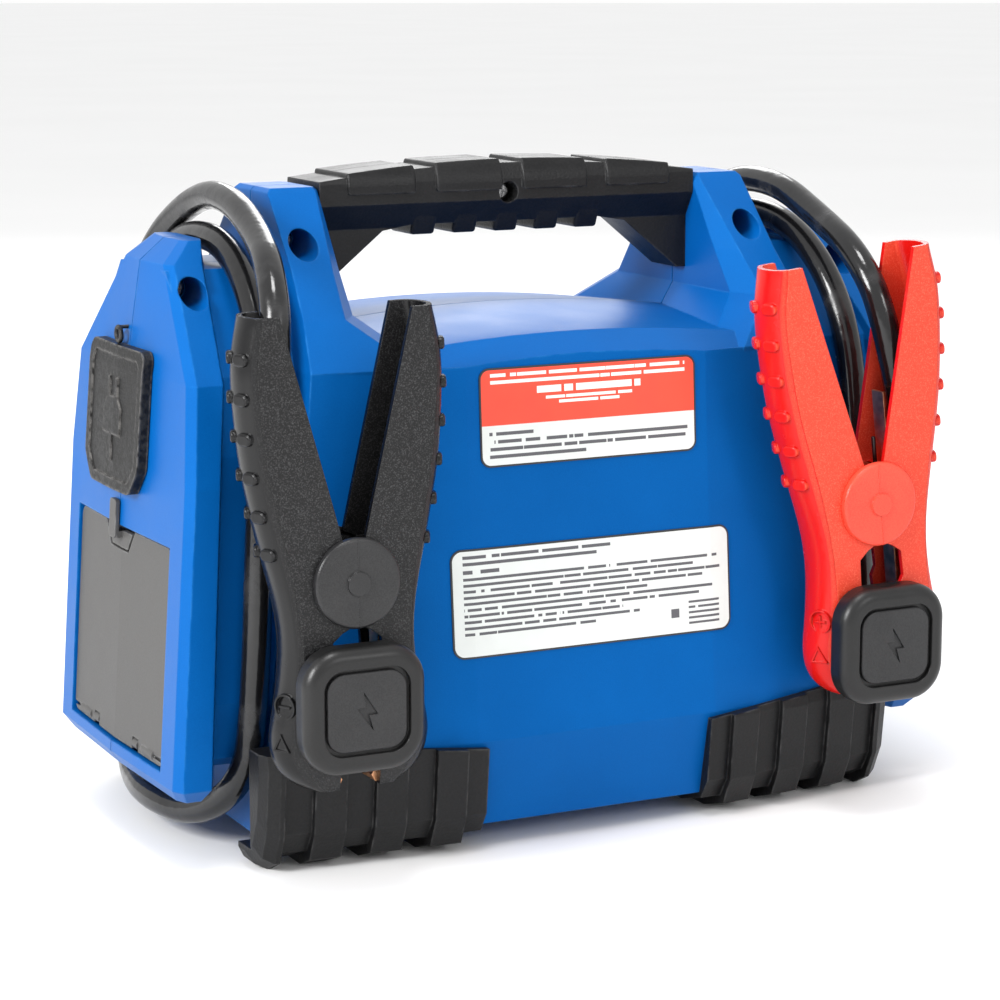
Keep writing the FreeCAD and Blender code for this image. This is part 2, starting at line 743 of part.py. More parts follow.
# ---------------------------------------------------------------- clamps, in their own frame
# u points away from the other half, w up from the pivot, y is the clamp's thickness.
# Each row: height w, outer edge u, edge of the flat cheek.
GRIP_ROWS = [(94, 35.0, 28.6), (80, 37.8, 30.7), (66, 38.2, 30.9), (52, 37.4, 29.8), (38, 35.8, 28.0),
             (26, 33.6, 25.6), (14, 31.0, 23.0), (4, 28.6, 21.2), (-8, 26.0, 19.4), (-20, 24.8, 18.4),
             (-34, 25.8, 18.4), (-46, 28.0, 18.8), (-56, 29.6, 18.8), (-64, 28.0, 17.4), (-70, 23.6, 14.6),
             (-74, 16.5, 11.0)]
OPEN_SLOPE = 0.258          # the handles' inner edges open by this much per mm of height
GRIP_WALL = 2.0


def inner_edge(height):
    """Inner edge of a clamp half: radial from the pivot on the handle, parallel on the jaw."""
    if height > 4:
        return 0.9 + (height - 2) * OPEN_SLOPE
    if height > -14:
        return 1.4
    return min(float(S.jaw_gap) + 2.0, 1.4 + (-14 - height) * 0.4)


def grip_section(height, inner, cheek, outer, half):
    """One D-shaped outline: flat cheeks and a back rounded like half an ellipse."""
    corners = [Vector(cheek, half, height), Vector(inner, half, height), Vector(inner, -half, height),
               Vector(cheek, -half, height)]
    lines = [Part.makeLine(a, b) for a, b in zip(corners, corners[1:])]
    depth = outer - cheek
    back = Part.BSplineCurve()
    path = [Vector(cheek + depth * math.cos(math.radians(turn)), half * math.sin(math.radians(turn)), height)
            for turn in range(-90, 91, 15)]
    back.interpolate(Points=path, InitialTangent=Vector(1, 0, 0), FinalTangent=Vector(-1, 0, 0))
    return Part.Wire(lines + [back.toShape()])


def grip_form(rows, inset, reach):
    """The outside of a clamp half, or its hollow when drawn in; reach shifts the inner edge."""
    wires = []
    for height, outer, cheek in rows:
        inner = inner_edge(height) + reach
        half = float(S.clamp_half) - inset - max(0.0, (-66 - height) * 0.25)
        wires.append(grip_section(height, inner, max(cheek, inner + 0.6), outer - inset, half))
    return Part.makeLoft(wires, True, False)


def outer_at(height):
    """Outer edge and cheek edge of a clamp half at a height, between the rows."""
    for (high, far, far_cheek), (low, near, near_cheek) in zip(GRIP_ROWS, GRIP_ROWS[1:]):
        if low <= height <= high:
            part = (height - low) / (high - low)
            return near + (far - near) * part, near_cheek + (far_cheek - near_cheek) * part
    raise ValueError("height outside the clamp")


def on_back(height, turn):
    """Placement on the rounded back: local z points outwards, local x round the back."""
    outer, cheek = outer_at(height)
    depth = outer - cheek
    angle = math.radians(turn)
    place = Vector(cheek + depth * math.cos(angle), float(S.clamp_half) * math.sin(angle), height)
    outward = Vector(math.cos(angle) / depth, math.sin(angle) / float(S.clamp_half), 0).normalize()
    round_back = Vector(0, 0, 1).cross(outward)
    return Placement(place, Rotation(round_back, Vector(0, 0, 1), outward, "ZXY"))


def bump_rows():
    """The studs on the back of a handle, in two columns."""
    studs = []
    for index in range(6):
        for side in (1, -1):
            stud = block((-3.4, -2.25, -1.0), (3.4, 2.25, 1.5))
            stud = stud.makeFillet(2.2, [edge for edge in stud.Edges if along(Vector(0, 0, 1))(edge)])
            stud = stud.makeFillet(0.9, [edge for edge in stud.Edges if on_plane(Vector(0, 0, 1), 1.5)(edge)])
            stud.Placement = on_back(80 - index * 13.6, side * 29)
            studs.append(stud)
    return studs


def polarity_marks(plus):
    """A plus or a minus in a ring, and a triangle below it, raised on the jaw's back."""
    ring = rod((0, 0, -1.3), (0, 0, 1), 4.6, 1.8).cut(rod((0, 0, -1.4), (0, 0, 1), 3.9, 2.0))
    bars = [block((-2.4, -0.4, -1.0), (2.4, 0.4, 0.5))]
    if plus:
        bars.append(block((-0.4, -2.4, -1.0), (0.4, 2.4, 0.5)))
    sign = fuse([ring] + bars) if plus else Part.makeCompound([ring] + bars)
    sign.Placement = on_back(-42, 32)
    outline = prism([(-3.6, -2.8, -1.2), (3.6, -2.8, -1.2), (0, 3.6, -1.2)], (0, 0, 1.7))
    inner = prism([(-2.3, -2.1, -1.3), (2.3, -2.1, -1.3), (0, 2.2, -1.3)], (0, 0, 2.0))
    triangle = outline.cut(inner)
    triangle.Placement = on_back(-55, 32)
    return sign.Solids + [triangle]


def ear(radius, low, high):
    """A pair of round ears either side of the clamp's middle plane."""
    return [rod((0, side * low, 0), (0, side, 0), radius, high - low) for side in (1, -1)]


def clamp_half(holds_cable, plus):
    """One plastic half: handle, ears and jaw, hollow and open towards the other half."""
    half = float(S.clamp_half)
    shell = grip_form(GRIP_ROWS, 0.0, 0.0)
    handle_hollow = grip_form([(97, 35.0, 28.6)] + GRIP_ROWS[:6] + [(12, 30.4, 22.6)], GRIP_WALL, -6.0)
    jaw_hollow = grip_form([(-16, 25.2, 18.8)] + GRIP_ROWS[9:14], GRIP_WALL, -6.0)
    shell = shell.cut(handle_hollow).cut(jaw_hollow)
    window = prism([(0, -half - 1, -15), (5.5, -half - 1, -17.5), (9.2, -half - 1, -20.5),
                    (9.6, -half - 1, -30), (7.4, -half - 1, -34), (0, -half - 1, -35)], (0, 2 * half + 2, 0))
    shell = shell.cut(window)
    clear = float(S.ear_radius) + 0.8
    if holds_cable:
        shell = shell.cut(rod((0, -7.5, 0), (0, 1, 0), clear, 15.0))
        shell = shell.fuse(ear(float(S.ear_radius), 7.5, half))
    else:
        for plate in ear(clear, 7.2, half + 1):
            shell = shell.cut(plate)
        shell = shell.fuse(ear(float(S.ear_radius), 4.2, 7.2)).cut(rod((0, -3.9, 0), (0, 1, 0), clear, 7.8))
    shell = shell.cut(rod((0, -half - 1, 0), (0, 1, 0), float(S.pivot_radius) + 0.06, 2 * half + 2))
    return shell.fuse(bump_rows() + (polarity_marks(plus) if holds_cable != plus else []))


def jaw_plate(tail):
    """A folded copper jaw: toothed edge, cheeks, and a strap up towards the pivot."""
    gap = float(S.jaw_gap)
    edge = [(gap + 1.4, -36.5)]
    for index in range(7):
        height = -38.5 - index * 5.0
        edge += [(gap + 1.4, height), (gap, height - 2.5)]
    outline = edge + [(gap + 1.4, -73.5), (gap + 4.6, -73.5), (gap + 6.2, -64), (gap + 6.2, -36.5)]
    plate = prism([(u, -6.0, w) for u, w in outline], (0, 12.0, 0))
    plate = plate.cut(block((gap + 2.6, -4.6, -72), (gap + 8, 4.6, -38)))
    riser = block((gap + 5.0, -3.8, -37.5), (gap + 6.2, 3.8, tail))
    return plate.fuse(riser)


def torsion_spring():
    """The close wound coil round the pivot that holds the jaws shut, with a leg along each handle."""
    coil_radius = 6.2
    turn_pitch = 1.7
    across = Vector(0, 1, 0)
    turns = [Part.makeTorus(coil_radius, 0.9, across * (turn * turn_pitch), across) for turn in (-1, 0, 1)]
    legs = [rod((side * coil_radius, side * turn_pitch, 0), (0, 0, 1), 0.8, length)
            for side, length in ((1, 23.4), (-1, 10.8))]
    return fuse(turns + legs)


def lie(shape, pivot, tilt, side):
    """Brings a clamp piece from its own frame to its place; side -1 mirrors it."""
    placed = shape.copy() if side > 0 else mirrored_x(shape)
    move = Placement(Vector(pivot[0], float(S.clamp_plane), pivot[1]), Rotation(Vector(0, 1, 0), tilt))
    return placed.transformed(move.toMatrix(), True)


CLAMPS = {
    "black": {"pivot": (108.2, 111.8), "tilt": 1.4, "outer": 1},
    "red": {"pivot": (-106.5, 121.5), "tilt": 6.5, "outer": -1},
}
half = float(S.clamp_half)
for colour, clamp in CLAMPS.items():
    outer = clamp["outer"]
    pivot, tilt = clamp["pivot"], clamp["tilt"]
    plus = colour == "red"
    feature("%s_clamp_cable_half" % colour, lie(clamp_half(True, plus), pivot, tilt, outer))
    feature("%s_clamp_free_half" % colour, lie(clamp_half(False, plus), pivot, tilt, -outer))
    feature("%s_cable_jaw" % colour, lie(jaw_plate(40.0), pivot, tilt, outer))
    feature("%s_free_jaw" % colour, lie(jaw_plate(-14.5), pivot, tilt, -outer))
    feature("%s_clamp_spring" % colour, lie(torsion_spring(), pivot, tilt, outer))
    pin = rod((0, -half - 1.5, 0), (0, 1, 0), float(S.pivot_radius), 2 * half + 3)
    feature("%s_pivot_pin" % colour, lie(pin, pivot, tilt, outer))
    caps = []
    for side in (1, -1):
        disc = rod((0, side * (half + 0.1), 0), (0, side, 0), float(S.cap_radius), 2.8)
        rim = [edge for edge in disc.Edges if on_plane(Vector(0, 1, 0), side * (half + 2.9))(edge)]
        disc = disc.makeFillet(1.2, rim)
        boss = rod((0, side * (half + 2), 0), (0, side, 0), 4.3, 1.9)
        line = block((-0.2, min(side * (half + 1), side * (half + 3.1)), -15.4),
                     (0.2, max(side * (half + 1), side * (half + 3.1)), 15.4))
        disc = fuse([disc, boss, line]).cut(rod((0, -half - 1.6, 0), (0, 1, 0), float(S.pivot_radius), 2 * half + 3.2))
        caps.append(disc)
    feature("%s_pivot_caps" % colour, lie(Part.makeCompound(caps), pivot, tilt, outer))



# ---------------------------------------------------------------- cables and their bend reliefs
BOOT_AXIS_Y = -68.5
CABLE_START = 104.0
WINDING = [(124, BOOT_AXIS_Y, CABLE_START), (119.5, -66.8, 148), (116.5, -68, 184), (119, -36, 221),
           (119, 24, 224), (121.5, 64, 190), (126, 67, 130), (129.5, 68, 62), (130, 58, 30), (139, 34, 12),
           (147.5, 2, 12), (141, -36, 12.5), (133, -60, 36), (136, -71.5, 76), (135.5, -74.5, 114),
           (128.5, -76, 166), (120, -60, 214)]
ROUTES = {
    "black": WINDING + [(116, -14, 238), (116.5, 22, 237.5), (120, 54, 227.5), (127.5, 84, 218),
                        (131.5, 99.5, 196), (134, 99.5, 158)],
    "red": [(-x, y, z) for x, y, z in WINDING] + [(-116, -16, 236), (-115.3, 22, 236), (-114.3, 52, 225.5),
                                                 (-111.3, 86, 213.5), (-114.8, 101, 190), (-123.5, 99.5, 155)],
}


def cable_line(route):
    """Straight runs joined by tangent arcs, and the radii of the arcs."""
    stops = [Vector(*place) for place in route]
    edges = []
    radii = []
    start = stops[0]
    for before, corner, after in zip(stops, stops[1:], stops[2:]):
        into = corner - before
        out = after - corner
        reach = 0.45 * min(into.Length, out.Length)
        half_turn = into.getAngle(out) / 2
        radius = reach / math.tan(half_turn)
        into.normalize()
        out.normalize()
        enter = corner - into * reach
        leave = corner + out * reach
        middle = corner + (out - into).normalize() * (radius / math.cos(half_turn) - radius)
        edges.append(Part.LineSegment(start, enter).toShape())
        edges.append(Part.Arc(enter, middle, leave).toShape())
        radii.append(radius)
        start = leave
    edges.append(Part.LineSegment(start, stops[-1]).toShape())
    return Part.Wire(edges), radii


def tube(line, radius):
    """A round bar along a line."""
    first = line.Edges[0]
    profile = Part.Wire(Part.makeCircle(radius, first.valueAt(first.FirstParameter),
                                        first.tangentAt(first.FirstParameter)))
    return line.makePipeShell([profile], True, False)


def bend_relief():
    """The rubber elbow that leads a cable out of the core's front wall and upwards."""
    wall = -float(S.core_half)
    flange = rod((GLAND_X, wall - 0.3, GLAND_Z), (0, -1, 0), 7.4, 2.0)
    spigot = rod((GLAND_X, wall + 9, GLAND_Z), (0, -1, 0), 5.9, 10)
    nut = rod((GLAND_X, wall + 6.5, GLAND_Z), (0, -1, 0), 9.0, 3.0)
    arm = rod((GLAND_X, wall - 1, GLAND_Z), (0, -1, 0), 6.8, wall - 1 - BOOT_AXIS_Y)
    knee = Part.makeSphere(6.8, Vector(GLAND_X, BOOT_AXIS_Y, GLAND_Z))
    neck = Part.makeCone(6.8, 6.3, 22, Vector(GLAND_X, BOOT_AXIS_Y, GLAND_Z), Vector(0, 0, 1))
    boot = fuse([flange, spigot, nut, arm, knee, neck])
    for index in range(3):
        ring = rod((GLAND_X, BOOT_AXIS_Y, GLAND_Z + 6 + index * 4.0), (0, 0, 1), 9, 1.2)
        inside = rod((GLAND_X, BOOT_AXIS_Y, GLAND_Z + 6 + index * 4.0), (0, 0, 1), 5.9, 1.2)
        boot = boot.cut(ring.cut(inside))
    return boot


for colour, route in ROUTES.items():
    line, radii = cable_line(route)
    radius = float(S.cable_diameter) / 2
    cable = tube(line, radius)
    section = math.pi * radius ** 2
    print("%s cable: length %.0f mm, volume / (section x length) %.4f" % (
        colour, line.Length, cable.Volume / (section * line.Length)))
    print("  arc radii:", " ".join("%.0f" % value for value in radii))
    feature("%s_cable" % colour, cable)
feature("black_cable_boot", bend_relief())
feature("red_cable_boot", mirrored_x(bend_relief()))


# ---------------------------------------------------------------- labels
def face_label(low, high, half_width, corner):
    """A thin printed plate that follows the long face with the clamps."""
    thick = float(S.label_thick)
    sheet_form = lower_body(-thick - 0.02).cut(lower_body(-0.02))
    outline = rounded_prism(half_width, (high - low) / 2, corner, (0, 70, (low + high) / 2), 25)
    return sheet_form.common(outline)


feature("upper_label", face_label(142, 178, float(S.upper_label_half), 4))
feature("lower_label", face_label(73, 113, float(S.lower_label_half), 4.5))


# ---------------------------------------------------------------- mains inlet and its cover
def yz_plate(points, corner, low_x, high_x):
    """A slab with rounded corners, drawn in Y and Z and pushed along X."""
    slab = prism([(low_x, y, z) for y, z in points], (high_x - low_x, 0, 0))
    if corner:
        slab = slab.makeFillet(corner, [edge for edge in slab.Edges if along(Vector(1, 0, 0))(edge)])
    return slab


COVER_Y = -3.0
cover_half = float(S.cover_width) / 2
low, high = float(S.cover_low), float(S.cover_high)
outline = yz_plate([(COVER_Y - cover_half, high), (COVER_Y - cover_half, low + 10), (COVER_Y - cover_half + 8, low),
                    (COVER_Y + cover_half - 8, low), (COVER_Y + cover_half, low + 10), (COVER_Y + cover_half, high)],
                   5.0, 142, 175)
cover = pod(-0.3 - float(S.cover_thick)).cut(pod(-0.3)).common(outline)
rim_cut = yz_plate([(COVER_Y - cover_half + 4, high - 4), (COVER_Y - cover_half + 4, low + 11),
                    (COVER_Y - cover_half + 10, low + 4), (COVER_Y + cover_half - 10, low + 4),
                    (COVER_Y + cover_half - 4, low + 11), (COVER_Y + cover_half - 4, high - 4)], 4.0, 142, 175)
cover = cover.cut(pod(-6.0).cut(pod(-0.3 - float(S.cover_thick) + 0.6)).common(rim_cut))
PLUG_MARK = [[(-9, -6), (9, -6), (9, 4), (5, 8), (-5, 8), (-9, 4)], [(-5.2, 8), (-3.2, 8), (-3.2, 15), (-5.2, 15)],
             [(3.2, 8), (5.2, 8), (5.2, 15), (3.2, 15)], [(-1.3, -16), (1.3, -16), (1.3, -6), (-1.3, -6)]]
emblem = fuse([prism([(142, COVER_Y + y, 157 + z) for y, z in points], (33, 0, 0)) for points in PLUG_MARK])
emblem = emblem.common(pod(-0.3 - float(S.cover_thick)).cut(pod(-0.3 - float(S.cover_thick) + 1.2)))
stopper = pod(-0.6).cut(pod(3.2)).common(block((142, -13.8, 147.6), (175, 11.8, 166.4)))
feature("inlet_cover", fuse([cover, emblem, stopper]))
ring = Part.makeTorus(2.6, 0.9, Vector(152.4, COVER_Y - 1, 187.6), Vector(1, 0, 0))
feature("cover_tether", ring.fuse(rod((147.6, COVER_Y - 1, 190.2), (1, 0, 0), 0.7, 5.4)))
socket_box = block((122, -16.6, 144.4), (149.8, 14.6, 169.6)).cut(block((125, -14.6, 146.4), (151, 12.6, 167.6)))
feature("inlet_socket", socket_box)
blades = [block((118, y - 0.8, 151), (143, y + 0.8, 158)) for y in (-7.4, 5.4)]
blades.append(rod((118, COVER_Y + 2, 163), (1, 0, 0), 1.9, 26))
feature("inlet_pins", Part.makeCompound(blades))


# ---------------------------------------------------------------- hose compartment
HINGE = (157.3, 38.4)           # the door's hinge line (x, z)
door_outline = yz_plate([(-49.2, 36.2), (49.2, 36.2), (49.2, 116.2), (13, 116.2), (7, 107.5), (-13, 107.5),
                         (-19, 116.2), (-49.2, 116.2)], 0, OUTER_SIDE, 175)
corners = [edge for edge in door_outline.Edges if along(Vector(1, 0, 0))(edge)
           and abs(edge.Vertexes[0].Y) > 40]
door_outline = door_outline.makeFillet(4.0, corners)
door = pod(1.2).cut(pod(1.2 + float(S.door_thick))).common(door_outline)
door_knuckles = [rod((HINGE[0], y, HINGE[1]), (0, 1, 0), 2.0, 12) for y in (-40, -6, 28)]
for y in (-24.6, 18.4):
    door = door.cut(block((150, y, 30), (165, y + 6.2, 40.9)))
door = fuse([door] + door_knuckles).cut(rod((HINGE[0], -50, HINGE[1]), (0, 1, 0), 1.05, 100))
feature("hose_door", door)
feature("door_hinge_pin", rod((HINGE[0], -41, HINGE[1]), (0, 1, 0), 1.0, 82))
latch_base = pod(1.4).cut(pod(3.4)).common(yz_plate([(-11.5, 108.2), (5.5, 108.2), (9.6, 114.6), (-15.6, 114.6)],
                                                   0, OUTER_SIDE, 175))
latch_tongue = pod(-2.0).cut(pod(-0.4)).common(yz_plate([(-6.6, 112), (0.6, 112), (0.6, 126.5), (-6.6, 126.5)],
                                                       1.6, OUTER_SIDE, 175))
latch_web = pod(-1.2).cut(pod(2.6)).common(yz_plate([(-6.6, 112.2), (0.6, 112.2), (0.6, 114.6), (-6.6, 114.6)],
                                                   0, OUTER_SIDE, 175))
feature("door_latch", fuse([latch_base, latch_tongue, latch_web]))
flange = pod(4.0).cut(pod(5.8)).common(block((OUTER_SIDE, -52, 33), (175, 52, 119)))
liner = fuse([liner_outer.common(pod(4.0).fuse(block((60, -60, 30), (150, 60, 120)))), flange]).cut(liner_inner)
for y in (-40.6, -6.6, 27.4):
    liner = liner.cut(block((150, y, 34.5), (162, y + 13.2, 41.4)))
liner_ears = [rod((HINGE[0], y, HINGE[1]), (0, 1, 0), 2.0, 5) for y in (-24, 19)]
liner_ears += [block((152.4, y, 37.4), (157.3, y + 5, 39.4)) for y in (-24, 19)]
liner = fuse([liner] + liner_ears).cut(rod((HINGE[0], -50, HINGE[1]), (0, 1, 0), 1.05, 100))
liner = liner.cut(rod((LINER_DEEP - 1, 0, 62), (1, 0, 0), 5.1, 4))
feature("hose_compartment", liner)
outlet = [rod((70, 0, 62), (1, 0, 0), 5.0, 14), rod((80.2, 0, 62), (1, 0, 0), 8.0, 4),
          rod((84, 0, 62), (1, 0, 0), 3.2, 12)]
outlet += [Part.makeCone(4.0, 3.2, 3.0, Vector(87 + 3 * index, 0, 62), Vector(1, 0, 0)) for index in range(3)]
feature("hose_outlet", fuse(outlet).cut(rod((69, 0, 62), (1, 0, 0), 1.8, 40)))


# ---------------------------------------------------------------- control panel
def panel_y(height, depth):
    """Y of a plane that lies the given depth below the front long face."""
    return depth - long_face(height)


MID = (float(S.panel_low) + float(S.panel_high)) / 2
SWITCH_AT = (-40, MID - 26)
ROCKER_AT = (40, MID - 20)
GAUGE_AT = (38, MID + 25)
TEST_AT = (-10, MID + 20)
LIGHTS_AT = [(-48 + 11 * index, MID + 32) for index in range(3)]
POWER_AT = (0, MID - 28)
panel = new_body("control_panel")
sketch = outline_sketch(panel, "YZ_Plane", panel_side)
pad(panel, sketch, S.panel_half * 2 - 0.6, True)
holes = [(x, z, radius) for (x, z), radius in ((SWITCH_AT, 6.06), (GAUGE_AT, 19.0), (TEST_AT, 6.4), (POWER_AT, 12.6))]
holes += [(x, z, 2.6) for x, z in LIGHTS_AT]
for x, z, radius in holes:
    ring = panel.newObject("Sketcher::SketchObject", "Hole_Sketch")
    ring.AttachmentSupport = [(origin_plane(panel, "XZ_Plane"), "")]
    ring.MapMode = "FlatFace"
    circle = ring.addGeometry(Part.Circle(Vector(x, z, 0), Vector(0, 0, 1), radius))
    tie_point(ring, circle, 3, (x, z))
    tie_constraint(ring, Sketcher.Constraint("Radius", circle, radius), radius)
    pocket(panel, ring, 100, flip=True)
rocker_x, rocker_z = ROCKER_AT
sketch = outline_sketch(panel, "XZ_Plane", rectangle(rocker_x - 12, rocker_z - 8.8, rocker_x + 12, rocker_z + 8.8))
pocket(panel, sketch, 100, flip=True)



def disc_piece(label, place, radius, near, far):
    """A PartDesign disc or rod along Y between two depths; near and far are -Y distances."""
    body = new_body(label)
    sketch = ring_sketch(body, place, radius, near)
    pad(body, sketch, far - near)
    return body


def ring_sketch(body, place, radius, lift):
    """A sketch with one circle on the body's XZ plane, moved towards -Y."""
    sketch = body.newObject("Sketcher::SketchObject", body.Name + "_Ring")
    sketch.AttachmentSupport = [(origin_plane(body, "XZ_Plane"), "")]
    sketch.MapMode = "FlatFace"
    bind_offset(sketch, lift)
    centre = Vector(float(place[0]), float(place[1]), 0)
    circle = sketch.addGeometry(Part.Circle(centre, Vector(0, 0, 1), float(radius)))
    tie_point(sketch, circle, 3, place)
    tie_constraint(sketch, Sketcher.Constraint("Radius", circle, float(radius)), radius)
    return sketch


knob = disc_piece("main_switch_knob", SWITCH_AT, S.knob_radius, 85.0, 89.0)
round_edges(knob, on_plane(Vector(0, 1, 0), -89.0), 1.2)
knob_x, knob_z = SWITCH_AT
pad(knob, outline_sketch(knob, "XZ_Plane", rectangle(knob_x - 3.6, knob_z - 15, knob_x + 3.6, knob_z + 15), (), 88), 4.2)
round_edges(knob, on_plane(Vector(0, 1, 0), -92.2), 0.8)
pad(knob, ring_sketch(knob, SWITCH_AT, 6.0, 66), 20)

frame_x, frame_z = ROCKER_AT
rocker_frame = new_body("rocker_frame")
pad(rocker_frame, outline_sketch(rocker_frame, "XZ_Plane",
                                 rectangle(frame_x - 13.5, frame_z - 10.5, frame_x + 13.5, frame_z + 10.5), (), 84.6), 1.6)
pad(rocker_frame, outline_sketch(rocker_frame, "XZ_Plane",
                                 rectangle(frame_x - 11.7, frame_z - 8.5, frame_x + 11.7, frame_z + 8.5), (), 70), 15)
pocket(rocker_frame, outline_sketch(rocker_frame, "XZ_Plane",
                                    rectangle(frame_x - 10.3, frame_z - 6.8, frame_x + 10.3, frame_z + 6.8), (), 72),
       20, flip=True)
rocker = new_body("rocker_button")
sketch = outline_sketch(rocker, "YZ_Plane", [(-75, frame_z - 3.5), (-75, frame_z + 3.5), (-82.6, frame_z + 5.2),
                                             (-85.0, frame_z + 5.2), (-84.2, frame_z), (-86.4, frame_z - 5.2),
                                             (-82.6, frame_z - 5.2)])
sketch.AttachmentOffset = Placement(Vector(0, 0, frame_x), Rotation())
pad(rocker, sketch, 20, True)

gauge_radius = S.gauge_radius
gauge = disc_piece("gauge_case", GAUGE_AT, gauge_radius, 81.2, 83.6)
round_edges(gauge, on_plane(Vector(0, 1, 0), -83.6), 1.0)
pad(gauge, ring_sketch(gauge, GAUGE_AT, gauge_radius - 2.3, 62), 20)
pocket(gauge, ring_sketch(gauge, GAUGE_AT, gauge_radius - 3.4, 79), 6, flip=True)
dial = disc_piece("gauge_dial", GAUGE_AT, gauge_radius - 3.5, 79.05, 79.7)
pocket(dial, ring_sketch(dial, GAUGE_AT, 0.86, 79), 1, flip=True)
disc_piece("gauge_lens", GAUGE_AT, gauge_radius - 3.5, 82.4, 83.0)
gauge_x, gauge_z = GAUGE_AT
needle = new_body("gauge_needle")
zero = math.radians(-120)
pointer = [(x * math.cos(zero) + z * math.sin(zero), z * math.cos(zero) - x * math.sin(zero))
           for x, z in ((-1.0, -4), (1.0, -4), (0.3, 14), (-0.3, 14))]
pad(needle, outline_sketch(needle, "XZ_Plane", [(gauge_x + x, gauge_z + z) for x, z in pointer], (), 80.4), 0.5)
pad(needle, ring_sketch(needle, GAUGE_AT, 2.0, 80.1), 1.4)
pad(needle, ring_sketch(needle, GAUGE_AT, 0.8, 79.15), 1.2)

test_button = disc_piece("test_button", TEST_AT, 6.0, 72.0, 84.0)
round_edges(test_button, on_plane(Vector(0, 1, 0), -84.0), 0.8)
lights = []
for number, (x, z) in enumerate(LIGHTS_AT, start=1):
    stem = cylinder("light_stem_%d" % number, (x, -70, z), (0, -1, 0), 2.4, 10.6)
    dome = doc.addObject("Part::Sphere", "light_dome_%d" % number)
    dome.Radius = 2.4
    dome.Placement.Base = Vector(x, -80.6, z)
    lights.append(joined("light_%d" % number, [stem, dome]))
group = doc.addObject("Part::Compound", "charge_lights")
group.Links = lights
keep("charge_lights", group)

power = disc_piece("power_socket", POWER_AT, 14.5, 84.9, 86.4)
pad(power, ring_sketch(power, POWER_AT, 12.3, 50), 36)
pocket(power, ring_sketch(power, POWER_AT, 10.6, 53), 40, flip=True)
pad(power, ring_sketch(power, POWER_AT, 2.6, 52), 7)
cap = disc_piece("power_cap", POWER_AT, 13.6, 86.8, 89.2)
round_edges(cap, on_plane(Vector(0, 1, 0), -89.2), 0.8)
pad(cap, ring_sketch(cap, POWER_AT, 10.2, 84.2), 3.5)
power_x, power_z = POWER_AT
pad(cap, outline_sketch(cap, "XZ_Plane", rectangle(power_x - 4, power_z + 11, power_x + 4, power_z + 17.5), (), 87), 1.6)


# ---------------------------------------------------------------- inside the pack
battery = new_body("battery_case")
half_width = S.battery_width / 2
half_depth = S.battery_depth / 2
pad(battery, outline_sketch(battery, "XY_Plane", rectangle(-half_width, -half_depth, half_width, half_depth), (), 14),
    S.battery_height)
round_edges(battery, along(Vector(0, 0, 1)), 3.0)
pocket(battery, outline_sketch(battery, "XY_Plane", rectangle(-half_width + 4, -half_depth + 4, half_width - 4,
                                                              half_depth - 4), (), S.battery_height + 11), 6, flip=True)
posts = [cylinder("terminal_%d" % (1 + (x > 0)), (x, 24, 92.6), (0, 0, 1), 5.0, 9.0) for x in (-46, 46)]
terminals = doc.addObject("Part::Compound", "battery_terminals")
terminals.Links = posts
keep("battery_terminals", terminals)
motor = joined("compressor_motor", [cylinder("motor_can", (-56, 18, 140), (1, 0, 0), 18.0, 58.0),
                                    cylinder("motor_tail", (-60, 18, 140), (1, 0, 0), 6.0, 6.0)])
keep("compressor_motor", motor)
fins = [cylinder("fin_%d" % (index + 1), (30, 18, 156 + 4 * index), (0, 0, 1), 15.0, 2.2) for index in range(5)]
head = joined("compressor_head", [box("crankcase", (3.5, -2, 118), (50, 40, 34)),
                                  cylinder("barrel", (30, 18, 150), (0, 0, 1), 11.0, 27.0)] + fins)
keep("compressor_head", head)
board = new_body("circuit_board")
pad(board, outline_sketch(board, "XZ_Plane", rectangle(-56, 112, 56, 170), [(-51, 117, 1.8), (51, 117, 1.8),
                                                                       (-51, 165, 1.8), (51, 165, 1.8)], 44), 1.6)
for low_x, low_z, high_x, high_z, tall in ((-40, 120, -16, 150, 8), (-8, 122, 8, 138, 12), (18, 145, 44, 160, 5)):
    pad(board, outline_sketch(board, "XZ_Plane", rectangle(low_x, low_z, high_x, high_z), (), 45.5), tall)


# ---------------------------------------------------------------- checks, then the files
feature("front_shell", front)
feature("rear_shell", rear)
doc.recompute()
# the frame's origin is under the middle of everything, from the front feet to the clamp posts
foot_reach = -nodes["foot_front_left"].Shape.optimalBoundingBox().YMin
centre_y = (float(S.head_front) - foot_reach) / 2
for obj in nodes.values():
    obj.Placement = Placement(Vector(0, -centre_y, 0), Rotation()) * obj.Placement
doc.recompute()
print("everything moved by %.3f mm along Y" % -centre_y)
for obj in doc.Objects:
    if "Invalid" in obj.State or "Error" in obj.State:
        raise ValueError("%s is in state %s" % (obj.Label, obj.State))
for label, obj in nodes.items():
    if obj.Shape.isNull() or not obj.Shape.isValid() or not obj.Shape.Solids:
        raise ValueError("%s has no sound shape" % label)
    if obj.Label != label:
        raise ValueError("%s is labelled %s" % (label, obj.Label))
for label, obj in nodes.items():
    obj.Shape.exportStep("parts/%s.step" % label)
    print(label, len(obj.Shape.Solids), round(obj.Shape.Volume))
print(len(nodes), "pieces written")
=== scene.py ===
"""The looks of a jump starter pack: materials, printed labels, cables, light and camera.

Everything is in metres in the row's frame: +Z up, +Y towards the side with the labels and the clamps,
+X towards the end with the mains inlet and the hose compartment.
"""
import json
import math

